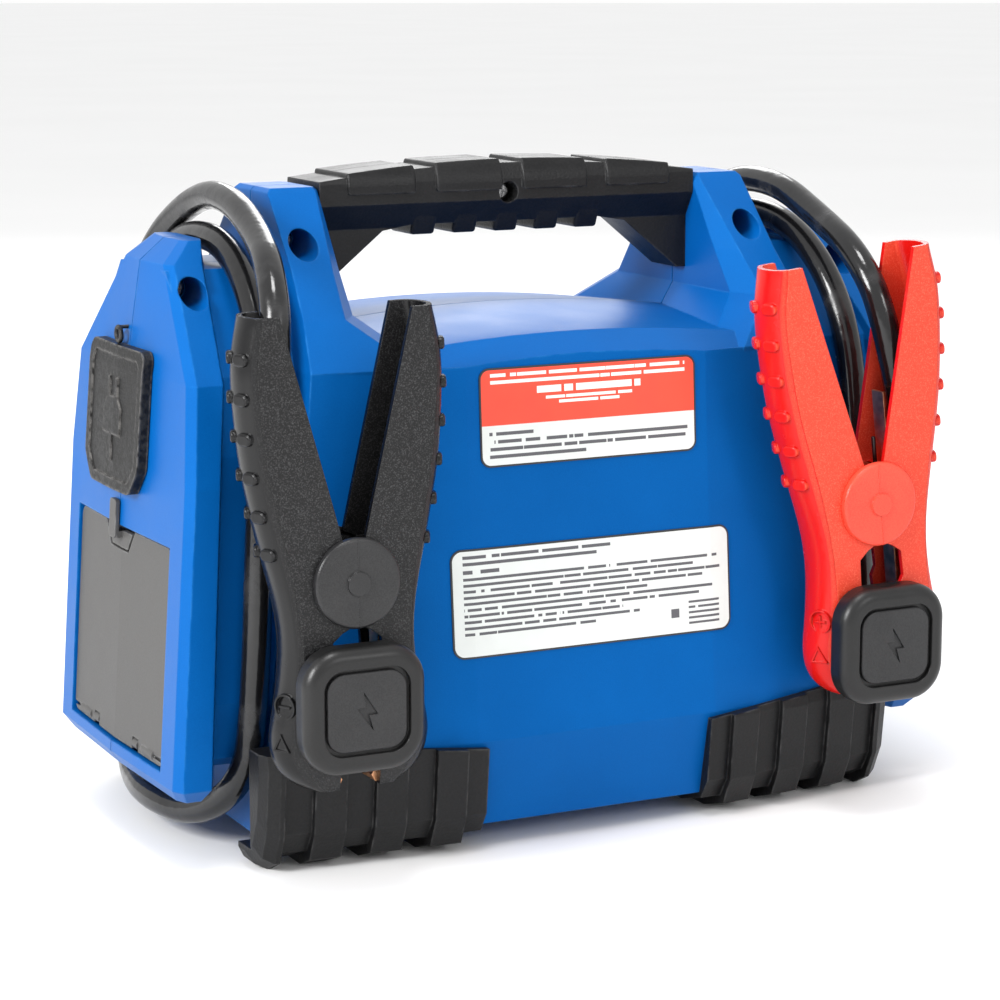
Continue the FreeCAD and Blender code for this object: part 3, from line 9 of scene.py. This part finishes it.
import bpy
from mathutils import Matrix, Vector


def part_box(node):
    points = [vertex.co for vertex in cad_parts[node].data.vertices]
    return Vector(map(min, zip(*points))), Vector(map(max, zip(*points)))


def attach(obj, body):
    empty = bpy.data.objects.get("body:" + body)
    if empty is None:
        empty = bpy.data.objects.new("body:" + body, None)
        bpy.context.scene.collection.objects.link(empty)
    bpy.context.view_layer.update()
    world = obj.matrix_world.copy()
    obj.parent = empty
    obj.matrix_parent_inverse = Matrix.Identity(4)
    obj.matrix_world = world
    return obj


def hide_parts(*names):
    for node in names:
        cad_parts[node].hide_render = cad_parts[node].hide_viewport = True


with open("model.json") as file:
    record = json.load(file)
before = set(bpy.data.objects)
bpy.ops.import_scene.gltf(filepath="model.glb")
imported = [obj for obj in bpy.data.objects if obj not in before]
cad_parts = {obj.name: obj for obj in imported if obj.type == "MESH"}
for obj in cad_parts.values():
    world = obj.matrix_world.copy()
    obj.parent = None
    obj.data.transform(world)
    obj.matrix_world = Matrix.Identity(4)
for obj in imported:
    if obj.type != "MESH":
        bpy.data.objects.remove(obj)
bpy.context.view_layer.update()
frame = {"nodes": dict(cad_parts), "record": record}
scene = bpy.context.scene
MM = 0.001


# ---------------------------------------------------------------- camera
AZIMUTH = math.radians(153.41)
ELEVATION = math.radians(10.62)
camera = bpy.data.objects.new("camera", bpy.data.cameras.new("camera"))
scene.collection.objects.link(camera)
camera.data.sensor_width = 36.0
camera.data.lens = 104.6
camera.data.clip_end = 20.0
camera.location = (0.5027, 0.99497, 0.3247)
camera.rotation_euler = (math.pi / 2 - ELEVATION, 0.0, AZIMUTH)
scene.camera = camera


# ---------------------------------------------------------------- cables
# Route points in millimetres, from the bend relief to the clamp. Y counts from the seam of the two body
# halves, which lies 14.434 mm behind the row's origin.
SEAM_Y = -14.434
CABLE_DIAMETER = 10.5
WINDING = [(124, -68.5, 104), (119.5, -66.8, 148), (116.5, -68, 184), (119, -36, 221), (119, 24, 224),
           (121.5, 64, 190), (126, 67, 130), (129.5, 68, 62), (130, 58, 30), (139, 34, 12), (147.5, 2, 12),
           (141, -36, 12.5), (133, -60, 36), (136, -71.5, 76), (135.5, -74.5, 114), (128.5, -76, 166),
           (120, -60, 214)]
ROUTES = {
    "black_cable": WINDING + [(116, -14, 238), (116.5, 22, 237.5), (120, 54, 227.5), (127.5, 84, 218),
                              (131.5, 99.5, 196), (134, 99.5, 158)],
    "red_cable": [(-x, y, z) for x, y, z in WINDING] + [(-116, -16, 236), (-115.3, 22, 236),
                                                        (-114.3, 52, 225.5), (-111.3, 86, 213.5),
                                                        (-114.8, 101, 190), (-123.5, 99.5, 155)],
}


def cable(node, route):
    """A jacketed cable along its route, in place of its CAD tube."""
    points = [(x * MM, (y + SEAM_Y) * MM, z * MM) for x, y, z in route]
    curve = bpy.data.curves.new(node + "_jacket", "CURVE")
    curve.dimensions = "3D"
    curve.resolution_u = 24
    curve.bevel_depth = 1.0  # times each point's radius, so that the curve's own box is the tube's
    curve.bevel_resolution = 8
    curve.use_fill_caps = True
    spline = curve.splines.new("NURBS")
    spline.points.add(len(points) - 1)
    for point, place in zip(spline.points, points):
        point.co = (*place, 1.0)
        point.radius = CABLE_DIAMETER / 2 * MM
    spline.order_u = 3
    spline.use_endpoint_u = True
    piece = bpy.data.objects.new(node + "_jacket", curve)
    scene.collection.objects.link(piece)
    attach(piece, "pack")
    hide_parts(node)
    return piece


cables = [cable(node, route) for node, route in ROUTES.items()]


# ---------------------------------------------------------------- ways to build a material
class Look:
    """A material with its node tree, and short ways to add the nodes that the materials share."""

    def __init__(self, name, roughness=0.5, metallic=0.0, specular=0.5):
        self.material = bpy.data.materials.new(name)
        self.material.use_nodes = True
        self.tree = self.material.node_tree
        self.shader = self.tree.nodes["Principled BSDF"]
        self.shader.inputs["Metallic"].default_value = metallic
        self.shader.inputs["Roughness"].default_value = roughness
        self.shader.inputs["Specular IOR Level"].default_value = specular
        self.place = self.tree.nodes.new("ShaderNodeTexCoord").outputs["Object"]

    def put(self, socket, value):
        """Links an output to a socket, or sets the socket's own value."""
        if isinstance(value, bpy.types.NodeSocket):
            self.tree.links.new(value, socket)
        else:
            socket.default_value = value

    def calc(self, operation, first, second=0.0, third=0.0):
        """A Math node."""
        node = self.tree.nodes.new("ShaderNodeMath")
        node.operation = operation
        for socket, value in zip(node.inputs, (first, second, third)):
            self.put(socket, value)
        return node.outputs[0]

    def noise(self, size, detail=3.0, stretch=(1.0, 1.0, 1.0), place=None):
        """Noise whose lumps are about size metres wide."""
        node = self.tree.nodes.new("ShaderNodeTexNoise")
        node.inputs["Scale"].default_value = 1.0 / size
        node.inputs["Detail"].default_value = detail
        self.put(node.inputs["Vector"], self.stretched(stretch, place))
        return node.outputs["Fac"]

    def distance(self, across, up):
        """The length of the long side of a right-angled triangle."""
        squares = [self.calc("POWER", side, 2.0) for side in (across, up)]
        return self.calc("SQRT", self.calc("ADD", *squares))

    def cells(self, size):
        """Voronoi cells about size metres wide: the distance to each cell's middle."""
        node = self.tree.nodes.new("ShaderNodeTexVoronoi")
        node.inputs["Scale"].default_value = 1.0 / size
        self.put(node.inputs["Vector"], self.place)
        return node.outputs["Distance"]

    def stretched(self, stretch, place=None):
        """The place, scaled along each axis."""
        place = place or self.place
        if stretch == (1.0, 1.0, 1.0):
            return place
        node = self.tree.nodes.new("ShaderNodeMapping")
        node.inputs["Scale"].default_value = stretch
        self.put(node.inputs["Vector"], place)
        return node.outputs["Vector"]

    def remap(self, value, low, high, to_low=0.0, to_high=1.0):
        """The value, from low..high to to_low..to_high, held at the ends."""
        node = self.tree.nodes.new("ShaderNodeMapRange")
        for socket, number in zip(node.inputs[1:5], (low, high, to_low, to_high)):
            socket.default_value = number
        self.put(node.inputs["Value"], value)
        return node.outputs[0]

    def mix(self, factor, first, second):
        """A colour between two."""
        node = self.tree.nodes.new("ShaderNodeMix")
        node.data_type = "RGBA"
        self.put(node.inputs["Factor"], factor)
        for socket, value in zip((node.inputs[6], node.inputs[7]), (first, second)):
            self.put(socket, value if isinstance(value, bpy.types.NodeSocket) else (*value, 1.0))
        return node.outputs[2]

    def axes(self, source=None):
        """The three numbers of a vector."""
        node = self.tree.nodes.new("ShaderNodeSeparateXYZ")
        self.put(node.inputs[0], source or self.place)
        return node.outputs

    def facing(self, axis):
        """How squarely the surface faces along an axis, either way: 0 to 1."""
        geometry = self.tree.nodes.new("ShaderNodeTexCoord").outputs["Normal"]
        return self.calc("ABSOLUTE", self.axes(geometry)[axis])

    def rounded(self, radius):
        """The surface's normal with its edges rounded."""
        node = self.tree.nodes.new("ShaderNodeBevel")
        node.samples = 4
        node.inputs["Radius"].default_value = radius
        return node.outputs[0]

    def edges(self, width):
        """Nearly 0 on flat stretches, and up to 1 on sharp edges."""
        geometry = self.tree.nodes.new("ShaderNodeNewGeometry")
        node = self.tree.nodes.new("ShaderNodeVectorMath")
        node.operation = "DOT_PRODUCT"
        self.put(node.inputs[0], self.rounded(width))
        self.put(node.inputs[1], geometry.outputs["Normal"])
        return self.remap(node.outputs["Value"], 0.995, 0.8)

    def relief(self, height, depth, soften=0.6 * MM):
        """A bumpy surface, depth metres deep, over edges softened by a soften metre radius."""
        node = self.tree.nodes.new("ShaderNodeBump")
        node.inputs["Strength"].default_value = 1.0
        node.inputs["Distance"].default_value = depth
        self.put(node.inputs["Height"], height)
        if soften:
            self.put(node.inputs["Normal"], self.rounded(soften))
        self.put(self.shader.inputs["Normal"], node.outputs[0])

    def colour(self, value):
        """Sets the surface's colour."""
        self.put(self.shader.inputs["Base Color"], value)

    def roughness(self, value):
        """Sets how rough the surface is."""
        self.put(self.shader.inputs["Roughness"], value)


def grained(name, dark, light, rough, grain=0.5 * MM, depth=0.05 * MM, patch=25 * MM, edge_wear_and_highlight=None,
            soften=0.7 * MM, specular=0.4):
    """Moulded plastic or rubber: fine grain, faint patches, and lighter edges where an edge colour is given:
    wear on rubber and grey plastic, a painted highlight on the blue shell.
    """
    look = Look(name, specular=specular)
    fine = look.noise(grain, 2.0)
    broad = look.noise(patch, 4.0)
    blend = look.calc("ADD", look.remap(fine, 0.35, 0.65, 0.0, 0.5), look.remap(broad, 0.3, 0.7, 0.0, 0.5))
    colour = look.mix(blend, dark, light)
    # Lighter colour along the edges, in patches: wear on the rubber and grey plastic, and a painted edge
    # highlight on the blue shell.
    if edge_wear_and_highlight:
        lightened = look.calc("MULTIPLY", look.edges(1.2 * MM), look.remap(look.noise(6 * MM), 0.4, 0.65))
        colour = look.mix(lightened, colour, edge_wear_and_highlight)
    look.colour(colour)
    look.roughness(look.remap(broad, 0.3, 0.7, rough[0], rough[1]))
    look.relief(fine, depth, soften=soften)
    return look


def metal(name, dark, light, rough):
    """Bare metal with fine brushed lines and dull patches."""
    look = Look(name, metallic=1.0)
    lines = look.noise(0.6 * MM, 3.0, stretch=(1.0, 1.0, 12.0))
    dull = look.noise(5 * MM, 4.0)
    look.colour(look.mix(look.remap(dull, 0.35, 0.65), dark, light))
    look.roughness(look.remap(dull, 0.3, 0.7, rough[0], rough[1]))
    look.relief(lines, 0.02 * MM, soften=0.4 * MM)
    return look


# ---------------------------------------------------------------- plastics, rubber and metals
def blue_shell():
    """Satin blue plastic with a fine grain and a painted highlight, in patches, along its edges."""
    # The lighter blue given for the edges is a painted edge highlight.
    look = grained("blue shell", (0.0005, 0.078, 0.30), (0.001, 0.094, 0.35), (0.38, 0.46), 0.45 * MM,
                   0.035 * MM, 30 * MM, edge_wear_and_highlight=(0.02, 0.16, 0.46), soften=1.0 * MM, specular=0.25)
    look.shader.inputs["Specular Tint"].default_value = (0.12, 0.5, 1.0, 1.0)
    return look


def clamp_plastic(name, back, lit_cheek, grain_glint_colour):
    """Clamp plastic: glossy rounded backs, and cheeks, square to Y, painted lighter as lit faces, with a
    fine grain whose specks are painted sparkle highlights.
    """
    look = Look(name, specular=0.3)
    squarely = look.facing(1)
    flat = look.remap(squarely, 0.75, 0.97)
    grain = look.noise(0.42 * MM, 2.0)
    # Lighter specks on the cheeks' grain: painted sparkle highlights.
    grain_glint_mask = look.calc("MULTIPLY", look.remap(grain, 0.5, 0.7), flat)
    # The cheeks take a lighter copy of the back colour: painted light on the flat faces.
    base_with_lit_cheeks = look.mix(flat, back, lit_cheek)
    look.colour(look.mix(grain_glint_mask, base_with_lit_cheeks, grain_glint_colour))
    smooth = look.remap(look.noise(9 * MM), 0.3, 0.7, 0.20, 0.28)
    look.roughness(look.calc("ADD", smooth, look.calc("MULTIPLY", flat, 0.16)))
    look.relief(look.calc("MULTIPLY", grain, look.remap(squarely, 0.75, 0.97, 0.06, 1.0)), 0.12 * MM)
    return look


def cable_jacket():
    """Glossy black jacket with a slightly uneven surface and a few dull rubs."""
    look = Look("cable jacket")
    rub = look.remap(look.noise(14 * MM, 5.0), 0.55, 0.7)
    look.colour(look.mix(rub, (0.006, 0.006, 0.0065), (0.02, 0.02, 0.021)))
    look.roughness(look.calc("ADD", look.calc("MULTIPLY", rub, 0.2), 0.16))
    look.relief(look.noise(5 * MM, 2.0), 0.15 * MM, soften=None)
    return look


def door_plastic():
    """Dark grey plastic with a fine matt grain."""
    return grained("dark plastic", (0.060, 0.059, 0.058), (0.085, 0.083, 0.081), (0.48, 0.58), 0.5 * MM,
                   0.06 * MM, 18 * MM, edge_wear_and_highlight=(0.2, 0.2, 0.2), specular=0.25)


def post_plastic():
    """The clamp posts' black satin plastic."""
    return grained("post plastic", (0.006, 0.006, 0.006), (0.0108, 0.0108, 0.0111), (0.3, 0.4), 0.6 * MM,
                   0.03 * MM, 15 * MM)


def rubber(name, rough):
    """Black rubber with a leathery grain and edges lightened by rubbing."""
    return grained(name, (0.0035, 0.0035, 0.004), (0.010, 0.010, 0.0105), rough, 0.9 * MM, 0.12 * MM,
                   20 * MM, edge_wear_and_highlight=(0.07, 0.07, 0.07), specular=0.25)


def cover_rubber():
    """The inlet cover's mottled black rubber, greyed at its edges and raised marks."""
    look = Look("cover rubber", specular=0.2)
    mottle = look.remap(look.noise(2.2 * MM, 6.0), 0.45, 0.62)
    worn = look.calc("MULTIPLY", look.edges(1.6 * MM), look.remap(look.noise(3 * MM), 0.35, 0.55))
    rubber_colour = look.mix(mottle, (0.004, 0.004, 0.0045), (0.018, 0.018, 0.0175))
    look.colour(look.mix(worn, rubber_colour, (0.13, 0.125, 0.12)))
    look.roughness(look.remap(mottle, 0.0, 1.0, 0.38, 0.6))
    look.relief(look.noise(0.8 * MM, 4.0), 0.2 * MM)
    return look


def clear_lens():
    """The gauge's clear window."""
    look = Look("gauge lens")
    look.shader.inputs["Transmission Weight"].default_value = 1.0
    look.shader.inputs["IOR"].default_value = 1.45
    look.colour(look.mix(look.remap(look.noise(8 * MM), 0.4, 0.6), (0.93, 0.95, 0.95), (0.98, 0.99, 0.99)))
    look.roughness(look.remap(look.noise(3 * MM, 5.0), 0.5, 0.7, 0.03, 0.12))
    return look


def charge_light():
    """The charge lights' tinted plastic."""
    look = Look("charge light")
    glow = look.noise(2.5 * MM)
    look.colour(look.mix(look.remap(glow, 0.35, 0.65), (0.02, 0.35, 0.06), (0.06, 0.55, 0.12)))
    look.roughness(look.remap(glow, 0.3, 0.7, 0.1, 0.22))
    look.shader.inputs["Coat Weight"].default_value = 0.5
    return look


def circuit():
    """Green board lacquer with copper tracks showing through."""
    look = Look("circuit")
    tracks = look.remap(look.cells(4 * MM), 0.42, 0.46)
    look.colour(look.mix(tracks, (0.008, 0.09, 0.03), (0.03, 0.2, 0.06)))
    look.roughness(look.remap(look.noise(6 * MM), 0.3, 0.7, 0.25, 0.4))
    look.relief(tracks, 0.05 * MM)
    return look


# ---------------------------------------------------------------- printed faces
INK = (0.02, 0.02, 0.022)
WARM_RED = (0.90, 0.065, 0.03)
PAPER = (0.70, 0.73, 0.71)
WORDS_ACROSS = 34.0         # stretches of ink and gaps along a whole line
GAP_LEVEL = 0.36            # noise under this leaves a gap
OUTLINE = 0.7 * MM
# Lines of print as (from, to, middle height, height), as shares of the label. Left is 0 and the bottom is 0.
UPPER_LIGHT = [(0.05, 0.95, 0.925, 0.035), (0.05, 0.95, 0.855, 0.035), (0.26, 0.74, 0.755, 0.07),
               (0.30, 0.70, 0.67, 0.03), (0.36, 0.64, 0.62, 0.03)]
UPPER_DARK = [(0.04, 0.24, 0.335, 0.035), (0.04, 0.96, 0.255, 0.035), (0.04, 0.95, 0.18, 0.035),
              (0.04, 0.48, 0.105, 0.035)]
LOWER_DARK = [(0.04, 0.56, 0.925, 0.03), (0.04, 0.51, 0.865, 0.03), (0.04, 0.17, 0.79, 0.035)]
LINE_ENDS = (0.95, 0.86, 0.97, 0.9, 0.69, 0.93, 0.88, 0.6, 0.66, 0.5)
LOWER_DARK += [(0.04, end, 0.725 - 0.056 * row, 0.026) for row, end in enumerate(LINE_ENDS)]
LOWER_DARK += [(0.84, 0.955, 0.30 - 0.05 * row, 0.022) for row in range(5)]
LOWER_DARK += [(0.775, 0.805, 0.205, 0.085)]


def label_look(node, split, light_lines, dark_lines, corner):
    """A printed label: an outline, a coloured field above the split, and bars where lines of print are."""
    look = Look(node.replace("_", " "))
    low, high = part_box(node)
    width = high[0] - low[0]
    height = high[2] - low[2]
    x, _, z = look.axes()
    across = look.calc("DIVIDE", look.calc("SUBTRACT", high[0], x), width)
    up = look.calc("DIVIDE", look.calc("SUBTRACT", z, low[2]), height)

    def into_corner(share, length):
        """How far a point is past where the corner's arc begins, along one side of the label."""
        off_middle = look.calc("ABSOLUTE", look.calc("SUBTRACT", share, 0.5))
        from_edge = look.calc("MULTIPLY", look.calc("SUBTRACT", 0.5, off_middle), length)
        return look.calc("SUBTRACT", corner, look.calc("MINIMUM", from_edge, corner))

    reach = look.distance(into_corner(across, width), into_corner(up, height))
    outline = look.calc("GREATER_THAN", reach, corner - OUTLINE)

    def words(middle):
        """The stretches of a line that hold ink: words with short gaps between them."""
        along = look.tree.nodes.new("ShaderNodeCombineXYZ")
        look.put(along.inputs[0], look.calc("MULTIPLY", across, WORDS_ACROSS))
        along.inputs[1].default_value = middle * 97.0
        return look.calc("GREATER_THAN", look.noise(1.0, 1.0, place=along.outputs[0]), GAP_LEVEL)

    def lines(bars):
        """1 where a line of print has ink."""
        covered = 0.0
        for left, right, middle, thick in bars:
            wide = look.calc("COMPARE", across, (left + right) / 2, (right - left) / 2)
            tall = look.calc("COMPARE", up, middle, thick / 2)
            bar = look.calc("MULTIPLY", look.calc("MULTIPLY", wide, tall), words(middle))
            covered = look.calc("MAXIMUM", bar, covered)
        return covered

    soil = look.remap(look.noise(12 * MM, 5.0), 0.45, 0.75, 0.0, 0.35)
    colour = look.mix(soil, PAPER, (0.60, 0.62, 0.60))
    if split:
        field = look.calc("GREATER_THAN", up, split)
        colour = look.mix(field, colour, look.mix(soil, WARM_RED, (0.72, 0.05, 0.03)))
    if light_lines:
        colour = look.mix(lines(light_lines), colour, (0.85, 0.83, 0.78))
    colour = look.mix(lines(dark_lines), colour, (0.09, 0.09, 0.1))
    colour = look.mix(outline, colour, INK)
    look.colour(colour)
    look.roughness(look.remap(look.noise(7 * MM), 0.3, 0.7, 0.3, 0.42))
    look.relief(look.noise(1.5 * MM, 2.0), 0.01 * MM, soften=None)
    return look


def gauge_dial():
    """A white dial with a coloured arc in three zones and a ring of scale marks."""
    look = Look("gauge dial")
    low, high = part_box("gauge_dial")
    radius = (high[0] - low[0]) / 2
    x, _, z = look.axes()
    right = look.calc("SUBTRACT", (low[0] + high[0]) / 2, x)
    up = look.calc("SUBTRACT", z, (low[2] + high[2]) / 2)
    reach = look.calc("DIVIDE", look.distance(right, up), radius)
    turn = look.calc("ARCTAN2", right, up)
    band = look.calc("COMPARE", reach, 0.62, 0.07)
    sweep = look.calc("LESS_THAN", look.calc("ABSOLUTE", turn), 2.1)
    zone = look.mix(look.calc("GREATER_THAN", turn, -0.7), (0.7, 0.05, 0.03), (0.8, 0.5, 0.03))
    zone = look.mix(look.calc("GREATER_THAN", turn, 0.7), zone, (0.05, 0.4, 0.08))
    ripple = look.calc("SINE", look.calc("MULTIPLY", turn, 7.5))
    marks = look.calc("LESS_THAN", look.calc("ABSOLUTE", ripple), 0.16)
    marks = look.calc("MULTIPLY", marks, look.calc("COMPARE", reach, 0.82, 0.1))
    colour = look.mix(look.noise(6 * MM), (0.78, 0.79, 0.76), (0.86, 0.86, 0.84))
    colour = look.mix(look.calc("MULTIPLY", band, sweep), colour, zone)
    colour = look.mix(look.calc("MULTIPLY", marks, sweep), colour, INK)
    look.colour(colour)
    look.roughness(look.remap(look.noise(4 * MM), 0.3, 0.7, 0.4, 0.5))
    return look


LOOKS = {
    "blue_shell": blue_shell(),
    "grip_rubber": rubber("grip rubber", (0.34, 0.46)),
    "foot_rubber": rubber("foot rubber", (0.36, 0.5)),
    "cover_rubber": cover_rubber(),
    "steel": metal("steel", (0.42, 0.42, 0.43), (0.62, 0.62, 0.63), (0.24, 0.4)),
    "post_plastic": post_plastic(),
    "badge_plastic": grained("badge plastic", (0.010, 0.010, 0.011), (0.026, 0.026, 0.027), (0.36, 0.44),
                              0.5 * MM, 0.06 * MM),
    # Each clamp: a back colour, a lighter cheek colour that is painted light, and a speck colour of painted
    # sparkle highlights.
    "black_clamp_plastic": clamp_plastic("black clamp plastic", (0.004, 0.004, 0.0045),
                                         (0.006, 0.006, 0.0065), (0.05, 0.05, 0.052)),
    "red_clamp_plastic": clamp_plastic("red clamp plastic", (0.56, 0.006, 0.004), (0.70, 0.050, 0.022),
                                       (0.80, 0.11, 0.06)),
    "jaw_copper": metal("jaw copper", (0.55, 0.25, 0.12), (0.78, 0.42, 0.24), (0.28, 0.45)),
    "cable_jacket": cable_jacket(),
    "dark_plastic": door_plastic(),
    "brass": metal("brass", (0.55, 0.38, 0.14), (0.75, 0.56, 0.25), (0.2, 0.35)),
    "red_plastic": grained("red plastic", (0.5, 0.012, 0.01), (0.66, 0.02, 0.015), (0.28, 0.36), 0.6 * MM,
                           0.03 * MM),
    "dial_print": gauge_dial(),
    "lens": clear_lens(),
    "light": charge_light(),
    "battery_plastic": grained("battery plastic", (0.03, 0.03, 0.032), (0.05, 0.05, 0.052), (0.5, 0.6)),
    "lead": metal("lead", (0.25, 0.25, 0.26), (0.36, 0.36, 0.37), (0.5, 0.65)),
    "aluminium": metal("aluminium", (0.6, 0.6, 0.61), (0.76, 0.76, 0.77), (0.35, 0.5)),
    "circuit": circuit(),
}
CAP_RELIEF = 0.04 * MM
black_caps = grained("black pivot caps", (0.010, 0.010, 0.011), (0.030, 0.030, 0.031), (0.26, 0.34),
                     0.42 * MM, CAP_RELIEF)
red_caps = grained("red pivot caps", (0.70, 0.040, 0.022), (0.80, 0.085, 0.045), (0.26, 0.34),
                   0.42 * MM, CAP_RELIEF)
dark_spring = metal("blackened spring steel", (0.04, 0.04, 0.042), (0.09, 0.09, 0.092), (0.3, 0.42))
NODE_LOOKS = {
    "black_pivot_caps": black_caps,
    "red_pivot_caps": red_caps,
    "black_clamp_spring": dark_spring,
    "red_clamp_spring": dark_spring,
    "upper_label": label_look("upper_label", 0.42, UPPER_LIGHT, UPPER_DARK, 4 * MM),
    "lower_label": label_look("lower_label", None, None, LOWER_DARK, 4.5 * MM),
}

slot_of = {part["node"]: part["material_slot"] for part in frame["record"]["subparts"]}
for name, piece in frame["nodes"].items():
    look = NODE_LOOKS.get(name) or LOOKS[slot_of[name]]
    piece.data.materials.clear()
    piece.data.materials.append(look.material)
for piece in cables:
    piece.data.materials.append(LOOKS["cable_jacket"].material)


# ---------------------------------------------------------------- floor and light
def floor():
    """A plain pale floor that the pack stands on."""
    bpy.ops.mesh.primitive_plane_add(size=60.0, location=(0.0, 0.0, 0.0))
    plane = bpy.context.object
    plane.name = "floor"
    look = Look("floor", roughness=0.8)
    look.colour(look.mix(look.noise(0.4), (0.86, 0.86, 0.86), (0.90, 0.90, 0.90)))
    plane.data.materials.append(look.material)


def area_light(name, place, target, size, power):
    """A soft square light aimed at a point."""
    light = bpy.data.lights.new(name, "AREA")
    light.size = size
    light.energy = power
    holder = bpy.data.objects.new(name, light)
    scene.collection.objects.link(holder)
    holder.location = place
    holder.rotation_euler = (Vector(place) - Vector(target)).to_track_quat("Z", "Y").to_euler()


floor()
MIDDLE = (0.0, 0.0, 0.12)
area_light("key", (1.5, 0.4, 0.9), MIDDLE, 0.6, 30.0)
area_light("front", (-0.5, 1.7, 0.9), MIDDLE, 0.4, 5.0)
area_light("top", (0.2, 0.3, 1.6), MIDDLE, 0.4, 9.0)
area_light("back", (-0.8, -1.6, 1.1), MIDDLE, 0.8, 10.0)
world = bpy.data.worlds.new("studio")
world.use_nodes = True
world.node_tree.nodes["Background"].inputs["Color"].default_value = (1.0, 1.0, 1.0, 1.0)
world.node_tree.nodes["Background"].inputs["Strength"].default_value = 1.0
scene.world = world
scene.view_settings.view_transform = "Standard"
